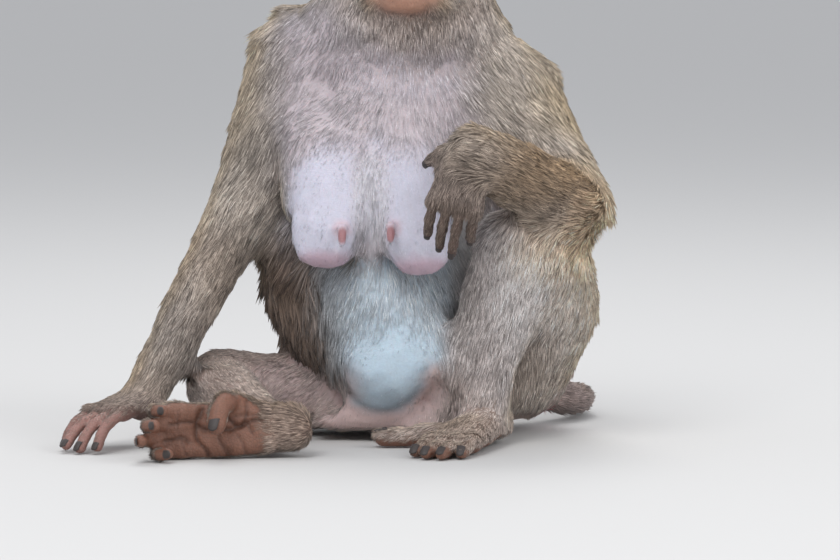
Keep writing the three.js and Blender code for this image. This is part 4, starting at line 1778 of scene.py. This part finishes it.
class Coat:
    """The whole coat, sown over the skin and cut into pieces."""

    seed = 7
    tufts = 366_000
    most_in_piece = 49_000
    clump_size = 5.5
    lowest = 1.5
    lengths = (0.72, 1.15)
    widths = (0.75, 1.25)
    limbs = {
        "arm": ["upper_arm"],
        "forearm": ["forearm", "hand"],
        "leg": ["thigh"],
        "shin": ["shin", "foot"],
    }

    def __init__(self, skin: Skin, chart: Coatmap) -> None:
        """Keeps the finished skin and what the coat is like on it."""
        self.skin, self.chart = skin, chart
        self.rng = np.random.default_rng(self.seed)

    def sown(self) -> Tufts:
        """Scatters the tufts over the skin and settles each one's shape and colours.

        Returns:
            All the tufts.
        """
        chart, surface, rng = self.chart, self.skin.surface, self.rng
        total = self.tufts
        tri, share = self.roots(total)

        def at(values: Array) -> Array:
            """Returns values of the skin's points at the tufts' roots."""
            return np.einsum("tc...,tc->t...", values[tri], share)

        roots = at(surface.points)
        normals = unit(at(chart.normals))
        lie = flattened(at(chart.lie), normals)
        fur = {name: at(values) for name, values in chart.table.items()}
        body = to_body(roots)
        mess = fur["mess"][:, None]
        swirl = 0.6 * ripple(body, 34, 21)[:, None] + 0.2 * ripple(body, 13, 22)[:, None]
        stray = swirl * mess * 1.2 + rng.normal(size=(total, 1)) * mess * 0.55
        lie = flattened(lie + np.cross(normals, lie) * stray, normals)
        length = fur["length"] * MM * rng.uniform(*self.lengths, total)
        length *= 1 + 0.1 * ripple(body, 18, 23)
        lift = fur["lift"] * (1 + 0.25 * ripple(body, 9, 24)) + rng.normal(size=total) * 4
        lie = flattened(self.clumped(body, lie, length / MM, fur["clump"]), normals)
        width = fur["width"] * MM * rng.uniform(*self.widths, total)
        tone = 1 + 0.1 * ripple(body, 16, 25) + 0.07 * ripple(body, 60, 26) + rng.normal(size=total) * 0.2
        tone = np.clip(tone, 0.55, 1.6)[:, None]
        kind = rng.random(total)
        ticked = np.where(kind < fur["pale"], 1.5, np.where(kind > 1 - fur["pale"], 0.5, 1.0))
        owner = np.argmax(self.skin.shares[tri[:, 0]], axis=1)
        unwrap = Unwrap(surface.points, np.argmax(self.skin.shares, axis=1))
        return Tufts(
            root=roots,
            normal=normals,
            lie=lie,
            length=length,
            width=width,
            lift=np.clip(lift, 5, 55),
            base=fur["base"] * tone,
            tip=fur["tip"] * tone * ticked[:, None],
            patch=unwrap.places(roots, owner),
            owner=owner,
        )

    def roots(self, total: int) -> tuple[Array, Array]:
        """Scatters roots over the skin's triangles by the density of the hair, off the floor.

        Args:
            total: How many there are.

        Returns:
            The three points of each root's triangle, and the share that each has in the root.
        """
        surface, density, rng = self.skin.surface, self.chart.table["density"], self.rng
        corners = surface.triangles
        areas = distance(surface.face_normals()) / 2
        amounts = areas * density[corners].mean(axis=1)
        amounts = amounts * (surface.points[:, 2][corners].max(axis=1) > self.lowest * MM)
        picks = np.searchsorted(np.cumsum(amounts) / amounts.sum(), rng.random(total))
        picks = np.minimum(np.sort(picks), len(corners) - 1)
        u, v = rng.random((2, total))
        over = u + v > 1
        u[over], v[over] = 1 - u[over], 1 - v[over]
        return corners[picks], np.stack([1 - u - v, u, v], axis=1)

    def clumped(self, body: Array, lie: Array, length: Array, amount: Array) -> Array:
        """Turns the tufts of each small patch towards the middle of their tips.

        Args:
            body: The tufts' roots in millimetres.
            lie: The way each tuft heads.
            length: Their lengths in millimetres.
            amount: How strongly each is drawn in.

        Returns:
            The new headings.
        """
        warp = np.stack([ripple(body, 11, 31 + k) for k in range(3)], axis=1) * 3.0
        cell = np.floor((body + warp) / self.clump_size).astype(np.int64)
        _, key = np.unique(cell @ np.array((1, 4096, 4096**2)), return_inverse=True)
        tips = body + lie * length[:, None]
        members = np.bincount(key)
        middle = np.stack([np.bincount(key, tips[:, k]) / members for k in range(3)], axis=1)[key]
        drawn = (middle - body) / length[:, None]
        return lie + (drawn - lie) * amount[:, None]

    def build(self) -> list[Object]:
        """Makes the coat's pieces, none of them with more tufts than it may have.

        Returns:
            Their objects.
        """
        tufts = self.sown()
        z = to_body(tufts.root)[:, 2]
        names = np.array(Node.names)[tufts.owner]
        front = tufts.normal[:, 1] < -0.1
        back = (names == "trunk") & ~front
        groups = {
            "coat_shoulders": back & (z > 190),
            "coat_back": back & (z > 110) & (z <= 190),
            "coat_rump": back & (z <= 110),
            "coat_front": ((names == "trunk") & front) | np.char.startswith(names, "breast"),
            "coat_neck": names == "neck",
            "coat_head": np.isin(names, ["head", "ear_left", "ear_right", "eye_left", "eye_right"]),
            "coat_tail": np.char.startswith(names, "tail"),
        }
        for side in Side:
            for limb, parts in self.limbs.items():
                own = [f"{part}_{side.value}" for part in parts]
                groups[f"coat_{limb}_{side.value}"] = np.isin(names, own)
        pieces = []
        for name, pick in groups.items():
            chosen = np.nonzero(pick)[0]
            if len(chosen) > self.most_in_piece:
                chosen = np.sort(self.rng.permutation(chosen)[: self.most_in_piece])
            pieces.append(new_object(name, tufts.chosen(chosen).mesh(name)))
        return pieces


# ---- Materials ----------------------------------------------------------------------------------

Input = "Value | float | tuple[float, ...]"


@dataclass(frozen=True)
class Value:
    """A socket of a material under way; Python's operators on it add Math nodes."""

    paint: "Paint"
    socket: NodeSocket

    def math(self, operation: str, *inputs: Input) -> "Value":
        """Returns what a Math node makes of the inputs."""
        return self.paint.node("Math", {"operation": operation}, dict(enumerate(inputs)))

    def __add__(self, other: Input) -> "Value":
        """Returns the sum."""
        return self.math("ADD", self, other)

    __radd__ = __add__

    def __sub__(self, other: Input) -> "Value":
        """Returns the difference."""
        return self.math("SUBTRACT", self, other)

    def __rsub__(self, other: Input) -> "Value":
        """Returns the difference from another value."""
        return self.math("SUBTRACT", other, self)

    def __mul__(self, other: Input) -> "Value":
        """Returns the product."""
        return self.math("MULTIPLY", self, other)

    __rmul__ = __mul__

    def step(self, low: float, high: float) -> "Value":
        """Returns a smooth step from 0 at low to 1 at high."""
        settings = {"interpolation_type": "SMOOTHSTEP"}
        return self.paint.node("MapRange", settings, {"Value": self, "From Min": low, "From Max": high})


class Paint:
    """A material under way, with one principled shader."""

    def __init__(self, name: str, **shader: float | tuple[float, ...]) -> None:
        """Starts the material.

        Args:
            name: Its name.
            shader: Constants of the shader's sockets, such as coat_weight=1.0.
        """
        self.material = bpy.data.materials.new(name)
        self.material.use_nodes = True
        self.tree = self.material.node_tree
        self.tree.nodes.clear()
        self.shader = self.tree.nodes.new("ShaderNodeBsdfPrincipled")
        output = self.tree.nodes.new("ShaderNodeOutputMaterial")
        self.tree.links.new(self.shader.outputs[0], output.inputs["Surface"])
        sockets = {socket.name.lower().replace(" ", "_"): socket for socket in self.shader.inputs}
        for name, value in shader.items():
            self.put(sockets[name], value)

    def put(self, socket: NodeSocket, value: Input) -> None:
        """Gives a socket a value or a link.

        Args:
            socket: The socket.
            value: A number, a colour or what another node gives.
        """
        if isinstance(value, Value):
            self.tree.links.new(value.socket, socket)
        elif isinstance(value, tuple) and len(value) == 3 and socket.type == "RGBA":
            socket.default_value = (*value, 1.0)
        else:
            socket.default_value = value

    def node(self, kind: str, settings: dict, inputs: dict, output: int | str = 0) -> Value:
        """Adds a node.

        Args:
            kind: Its type, without the words that every shader node's type starts with.
            settings: Its own settings, which are set first.
            inputs: The values or links of its sockets, by name or number.
            output: Which of its outputs is wanted.

        Returns:
            That output.
        """
        node = self.tree.nodes.new(f"ShaderNode{kind}")
        for name, value in settings.items():
            setattr(node, name, value)
        for socket, value in inputs.items():
            self.put(node.inputs[socket], value)
        return Value(self, node.outputs[output])

    def marking(self) -> tuple[Value, Value]:
        """Returns the colour that the piece stores at its points, and its fourth number."""
        colour = self.node("Attribute", {"attribute_name": "marking"}, {}, "Color")
        return colour, Value(self, colour.socket.node.outputs["Alpha"])

    def noise(self, scale: float, detail: float, rough: float, stretch: Triple = (1, 1, 1)) -> Value:
        """Makes noise on the piece's own coordinates.

        Args:
            scale: How many waves there are in a metre.
            detail: How many finer layers are added.
            rough: How strong those are.
            stretch: How much denser it is along each axis.

        Returns:
            A number that is mostly about 0.5.
        """
        place = self.node("TexCoord", {}, {}, "Object")
        place = self.node("Mapping", {}, {"Vector": place, "Scale": stretch})
        inputs = {"Vector": place, "Scale": scale, "Detail": detail, "Roughness": rough}
        return self.node("TexNoise", {}, inputs)

    def cells(self, scale: float) -> Value:
        """Returns the distance to the edges of a cell pattern on the piece's own coordinates."""
        inputs = {"Vector": self.node("TexCoord", {}, {}, "Object"), "Scale": scale}
        return self.node("TexVoronoi", {"feature": "DISTANCE_TO_EDGE"}, inputs, "Distance")

    def tinted(self, colour: Value, tint: Triple, amount: Input) -> Value:
        """Returns a colour mixed with a tint by an amount."""
        inputs = {0: amount, 6: colour, 7: tint}
        return self.node("Mix", {"data_type": "RGBA"}, inputs, 2)

    def shaded(self, colour: Value, factor: Value) -> Value:
        """Returns a colour times a number."""
        return self.node("VectorMath", {"operation": "SCALE"}, {0: colour, 3: factor})

    def bumped(self, height: Value, distance: float, strength: float) -> Value:
        """Returns the normal that a height gives, as deep as the distance in metres."""
        return self.node("Bump", {}, {"Height": height, "Distance": distance, "Strength": strength})

    def finish(self, colour: Value, roughness: Value, normal: Value) -> Material:
        """Links what varies to the shader.

        Args:
            colour: The base colour.
            roughness: The roughness.
            normal: The normal.

        Returns:
            The material.
        """
        for name, value in (("Base Color", colour), ("Roughness", roughness), ("Normal", normal)):
            self.put(self.shader.inputs[name], value)
        return self.material


class Finish:
    """What the finishes share: they are made once and put on pieces."""

    def material(self) -> Material:
        """Makes the material."""
        raise NotImplementedError

    def dress(self, pieces: Sequence[Object], slot: str) -> None:
        """Puts the material on pieces.

        Args:
            pieces: The pieces.
            slot: The slot, which is not used.
        """
        material = self.material()
        for piece in pieces:
            piece.data.materials.clear()
            piece.data.materials.append(material)


@dataclass(frozen=True)
class SkinFinish(Finish):
    """Thinly haired and bare skin: blotches, pores, and creases where it is bare, darkened with painted
    shade.
    """

    blotch: float = 70
    wrinkle: float = 380
    crease: float = 420
    fine: float = 600
    pore: float = 1500
    relief: float = 0.0005
    # The colour of the painted shade in the bare skin's creases.
    dirt: Triple = (0.05, 0.028, 0.022)

    def material(self) -> Material:
        """Makes the material.

        Returns:
            The material.
        """
        red_deep = (1.0, 0.4, 0.25)
        paint = Paint("skin", subsurface_weight=0.12, subsurface_radius=red_deep, subsurface_scale=0.003)
        colour, bare = paint.marking()
        blotch = paint.noise(self.blotch, 4, 0.6)
        fine = paint.noise(self.fine, 3, 0.6)
        cells = paint.cells(self.crease)
        wrinkle = paint.noise(self.wrinkle, 3, 0.6, (1, 1, 3.0))
        pores = paint.noise(self.pore, 2, 0.5)
        colour = paint.shaded(colour, 0.72 + blotch * 0.3 + fine * 0.26)
        # Painted shade: the bare skin is darkened along its creases.
        colour = paint.tinted(colour, self.dirt, cells.step(0.1, 0.0) * bare * 0.3)
        height = cells.step(0.0, 0.22) * bare * 0.55 + wrinkle * 0.5 + pores * 0.25
        rough = 0.44 + blotch * 0.16 + fine * 0.14 - bare * 0.04
        return paint.finish(colour, rough, paint.bumped(height, self.relief, 0.55))


@dataclass(frozen=True)
class CoatFinish(Finish):
    """Hair: its colour runs from root to tip, with fine streaks and a soft gloss."""

    streak: float = 1400
    patch: float = 160
    relief: float = 0.0003

    def material(self) -> Material:
        """Makes the material.

        Returns:
            The material.
        """
        paint = Paint("coat", sheen_weight=0.12, sheen_roughness=0.4, specular_ior_level=0.35)
        colour, _ = paint.marking()
        streak = paint.noise(self.streak, 2, 0.5)
        patch = paint.noise(self.patch, 3, 0.6)
        colour = paint.shaded(colour, 0.66 + streak * 0.38 + patch * 0.3)
        rough = 0.48 + patch * 0.22 + streak * 0.1
        return paint.finish(colour, rough, paint.bumped(streak, self.relief, 0.5))


@dataclass(frozen=True)
class EyeFinish(Finish):
    """A wet eyeball: an amber iris with fibres, a dark ring round it and a brown-edged white."""

    fibre: float = 2600
    relief: float = 0.0002

    def material(self) -> Material:
        """Makes the material.

        Returns:
            The material.
        """
        paint = Paint("eye", coat_weight=1.0, coat_roughness=0.03, ior=1.376)
        colour, iris = paint.marking()
        fibre = paint.noise(self.fibre, 3, 0.65, (1.0, 0.3, 1.0))
        colour = paint.shaded(colour, 0.8 + fibre * 0.4)
        return paint.finish(colour, 0.16 + fibre * 0.1, paint.bumped(fibre * iris, self.relief, 0.4))


@dataclass(frozen=True)
class NailFinish(Finish):
    """Dark grey horn with a fine grain, and worn paler at the edge."""

    grain: float = 1800
    relief: float = 0.0003
    worn: Triple = (0.12, 0.1, 0.09)

    def material(self) -> Material:
        """Makes the material.

        Returns:
            The material.
        """
        paint = Paint("nail", coat_weight=0.1, coat_roughness=0.4, specular_ior_level=0.3)
        colour, edge = paint.marking()
        grain = paint.noise(self.grain, 3, 0.6)
        colour = paint.shaded(colour, 0.7 + grain * 0.6)
        colour = paint.tinted(colour, self.worn, edge * 0.25)
        return paint.finish(colour, 0.4 + grain * 0.2, paint.bumped(grain, self.relief, 0.5))


@dataclass(frozen=True)
class FloorFinish(Finish):
    """A pale matt studio floor."""

    tone: Triple = (0.6, 0.595, 0.585)

    def material(self) -> Material:
        """Returns the material."""
        return Paint("floor", base_color=self.tone, roughness=0.8).material


# ---- Eyes, nails and the rest -------------------------------------------------------------------


@dataclass
class Eyes:
    """Both eyeballs, each with a raised cornea; pupil and iris are angles, bulge is a height."""

    pupil: float = 0.23
    iris: float = 0.63
    bulge: float = 0.55
    iris_rim: Triple = (0.12, 0.045, 0.012)
    iris_core: Triple = (0.3, 0.125, 0.03)
    white_rim: Triple = (0.09, 0.045, 0.03)
    white: Triple = (0.26, 0.18, 0.14)
    segments: int = 72
    rings: int = 56

    def build(self) -> list[Object]:
        """Makes the two eyes and returns their objects."""
        return [self.eyeball(side) for side in Side]

    def eyeball(self, side: Side) -> Object:
        """Makes one eye, with its pole forwards and its rings closer there.

        Args:
            side: Which eye it is.

        Returns:
            The eyeball's object.
        """
        bm = bmesh.new()
        bmesh.ops.create_uvsphere(bm, u_segments=self.segments, v_segments=self.rings, radius=1.0)
        polar = {}
        for vert in bm.verts:
            angle = math.acos(max(-1.0, min(1.0, vert.co.z)))
            closer = math.pi * (angle / math.pi) ** 1.4
            around = Vector((vert.co.x, vert.co.y, 0))
            if around.length > 1e-6:
                around.normalize()
            raised = EYE_RADIUS + self.bulge * math.exp(-((closer / 0.48) ** 4))
            vert.co = (around * math.sin(closer) + Vector((0, 0, math.cos(closer)))) * raised
            polar[vert.index] = (closer, math.atan2(around.y, around.x))
        angles = [polar[i] for i in range(len(bm.verts))]
        gaze = Matrix.Rotation(math.radians(90), 4, "X")
        matrix = PACKED @ BONES.head() @ Matrix.Translation(BONES.eye(side)) @ gaze
        bmesh.ops.transform(bm, matrix=matrix, verts=bm.verts)
        piece = finished(f"eyeball_{side.value}", bm)
        paint(piece.data, *self.colours(np.array(angles)))
        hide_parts(f"eye_{side.value}")
        return piece

    def colours(self, angles: Array) -> tuple[Array, Array]:
        """Paints the iris with its spokes and its dark ring, the pupil and the white.

        Args:
            angles: Each point's angle from the pole and its turn round it.

        Returns:
            Each point's colour, and 1 on the iris and 0 off it.
        """
        polar, turn = angles.T
        rng = np.random.default_rng(3)
        spokes = sum(np.sin(turn * k + rng.uniform(0, 6.3)) for k in (17, 23, 31, 36)) / 4
        inner = ramp(polar, self.iris, self.pupil)
        iris = np.outer(1 - inner, self.iris_rim) + np.outer(inner, self.iris_core)
        iris = iris * (1 + 0.35 * spokes)[:, None]
        on = ramp(polar, self.iris, self.iris - 0.04)
        ring = bell(polar, self.iris, 0.05)
        far = ramp(polar, 0.65, 1.0)
        white = np.outer(1 - far, self.white_rim) + np.outer(far, self.white)
        colour = iris * on[:, None] + white * (1 - on)[:, None]
        colour *= (1 - 0.85 * ring)[:, None]
        colour *= ramp(polar, self.pupil - 0.012, self.pupil + 0.012)[:, None] * 0.995 + 0.005
        return colour, on


@dataclass
class Nails:
    """The nails of every finger and toe, each a curved plate with a free edge."""

    widest: float = 5.8
    wrap: float = 0.82
    back: float = 0.85
    front: float = 1.05
    thick: float = 0.5
    tone: Triple = (0.042, 0.035, 0.034)
    across: int = 8
    along: int = 8

    def build(self, paws: Sequence[Paw]) -> list[Object]:
        """Makes the nails of each hand and foot.

        Args:
            paws: The hands and feet.

        Returns:
            An object for each.
        """
        pieces = []
        for paw in paws:
            bm = bmesh.new()
            edge = bm.verts.layers.float.new("edge")
            for digit in paw.digits:
                self.add(bm, edge, paw, digit)
            edges = np.array([vert[edge] for vert in bm.verts])
            piece = finished(f"nails_{paw.pose.node}", bm)
            tone = np.outer(np.ones(len(edges)), self.tone)
            paint(piece.data, tone * (1.25 - 0.5 * edges)[:, None], edges)
            pieces.append(piece)
        return pieces

    def add(self, bm: BMesh, edge: BMLayerItem, paw: Paw, digit: Digit) -> None:
        """Adds one digit's nail to a mesh.

        Args:
            bm: The mesh.
            edge: The layer that holds how near a point lies to the free edge.
            paw: The hand or foot.
            digit: The finger or toe.
        """
        place, heading, _ = digit.path()[-1]
        narrow = min(1.0, self.widest / digit.radius)
        aside = digit.aside
        outward = aside.cross(heading).normalized()
        turn = Matrix((aside, heading, outward)).transposed().to_4x4()
        radius = digit.girth(0.95)
        matrix = paw.resting(place, radius) @ turn
        made = bmesh.ops.create_grid(bm, x_segments=self.across, y_segments=self.along, size=1.0)["verts"]
        for vert in made:
            u, v = vert.co.x, (vert.co.y + 1) / 2
            vert[edge] = v
            angle = u * self.wrap * narrow * (1 - 0.12 * v)
            y = radius * narrow * (-self.back + (self.back + self.front - 0.4 * u * u) * v)
            droop = 0.22 * max(y / radius, 0) ** 2 + 0.16 * (1 - v) ** 2
            shell = radius * 1.03
            vert.co = (shell * math.sin(angle) * 0.92, y, shell * (math.cos(angle) - droop))
        faces = list(dict.fromkeys(face for vert in made for face in vert.link_faces))
        bmesh.ops.recalc_face_normals(bm, faces=faces)
        if sum(face.normal.z for face in faces) < 0:
            bmesh.ops.reverse_faces(bm, faces=faces)
        solid = bmesh.ops.solidify(bm, geom=faces, thickness=self.thick)["geom"]
        whole = dict.fromkeys([*made, *(item for item in solid if isinstance(item, BMVert))])
        bmesh.ops.transform(bm, matrix=matrix, verts=list(whole))


@dataclass(frozen=True)
class Lamp:
    """A large soft light: where it stands and how wide it is, in metres, and its power in watts."""

    name: str
    place: Triple
    size: float
    power: float


@dataclass
class Studio:
    """A pale floor, soft lights and the camera, in metres; the camera's elevation is in degrees."""

    reach: float = 25.0
    far: float = 4.0
    frame_width: float = 0.588
    elevation: float = 4.5
    aim: float = 0.11
    lit: Triple = (0, 0, 0.18)
    sky: Triple = (0.93, 0.95, 1.0)
    sky_strength: float = 0.75
    lamps: tuple[Lamp, ...] = (
        Lamp("key", (-0.7, -2.2, 2.4), 1.6, 40),
        Lamp("fill", (2.2, -1.5, 1.5), 1.8, 24),
        Lamp("top", (0.1, 1.0, 2.4), 1.6, 22),
    )

    def build(self) -> None:
        """Adds the floor, the lights and the camera."""
        self.floor()
        for lamp in self.lamps:
            self.light(lamp)
        world = bpy.data.worlds.new("studio")
        bpy.context.scene.world = world
        world.use_nodes = True
        world.node_tree.nodes["Background"].inputs["Color"].default_value = (*self.sky, 1)
        world.node_tree.nodes["Background"].inputs["Strength"].default_value = self.sky_strength
        self.camera()

    def floor(self) -> None:
        """Adds the floor, which isn't part of the model."""
        bm = bmesh.new()
        bmesh.ops.create_grid(bm, x_segments=4, y_segments=4, size=self.reach)
        piece = finished("floor", bm)
        piece.data.materials.append(FloorFinish().material())

    def light(self, lamp: Lamp) -> None:
        """Adds a light that faces the body.

        Args:
            lamp: The light's place, size and power.
        """
        data = bpy.data.lights.new(lamp.name, "AREA")
        data.shape = "DISK"
        data.size = lamp.size
        data.energy = lamp.power
        light = bpy.data.objects.new(lamp.name, data)
        light.location = lamp.place
        light.rotation_euler = (Vector(self.lit) - Vector(lamp.place)).to_track_quat("-Z", "Y").to_euler()
        bpy.context.scene.collection.objects.link(light)

    def camera(self) -> None:
        """Adds the camera and makes it the scene's."""
        bpy.context.scene.view_settings.view_transform = "Standard"
        data = bpy.data.cameras.new("camera")
        data.sensor_width = 36
        data.lens = data.sensor_width * self.far / self.frame_width
        data.clip_start = 0.1
        data.clip_end = 50
        camera = bpy.data.objects.new("camera", data)
        angle = math.radians(self.elevation)
        target = Vector((OFFSET[0], OFFSET[1], self.aim))
        camera.location = target + Vector((0, -math.cos(angle), math.sin(angle))) * self.far
        camera.rotation_euler = (target - camera.location).to_track_quat("-Z", "Y").to_euler()
        bpy.context.scene.collection.objects.link(camera)
        bpy.context.scene.camera = camera


def main() -> None:
    """Builds the skin, the coat, the eyes, the nails and the studio."""
    logging.basicConfig(level=logging.INFO, format="%(message)s")
    skin = Skin()
    body = skin.build()
    chart = Coatmap(skin)
    chart.mark(body.data)
    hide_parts(*[name for name in Node.names if not name.startswith("eye")])
    SkinFinish().dress([body], "skin")

    coat = Coat(skin, chart).build()
    CoatFinish().dress(coat, "coat")
    eyes = Eyes().build()
    EyeFinish().dress(eyes, "eye")
    nails = Nails().build(skin.paws)
    NailFinish().dress(nails, "nail")
    for piece in (body, *coat, *eyes, *nails):
        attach(piece, ROOT)
        log.info("%s: %d faces", piece.name, len(piece.data.polygons))
    Studio().build()


if __name__ == "__main__":
    main()
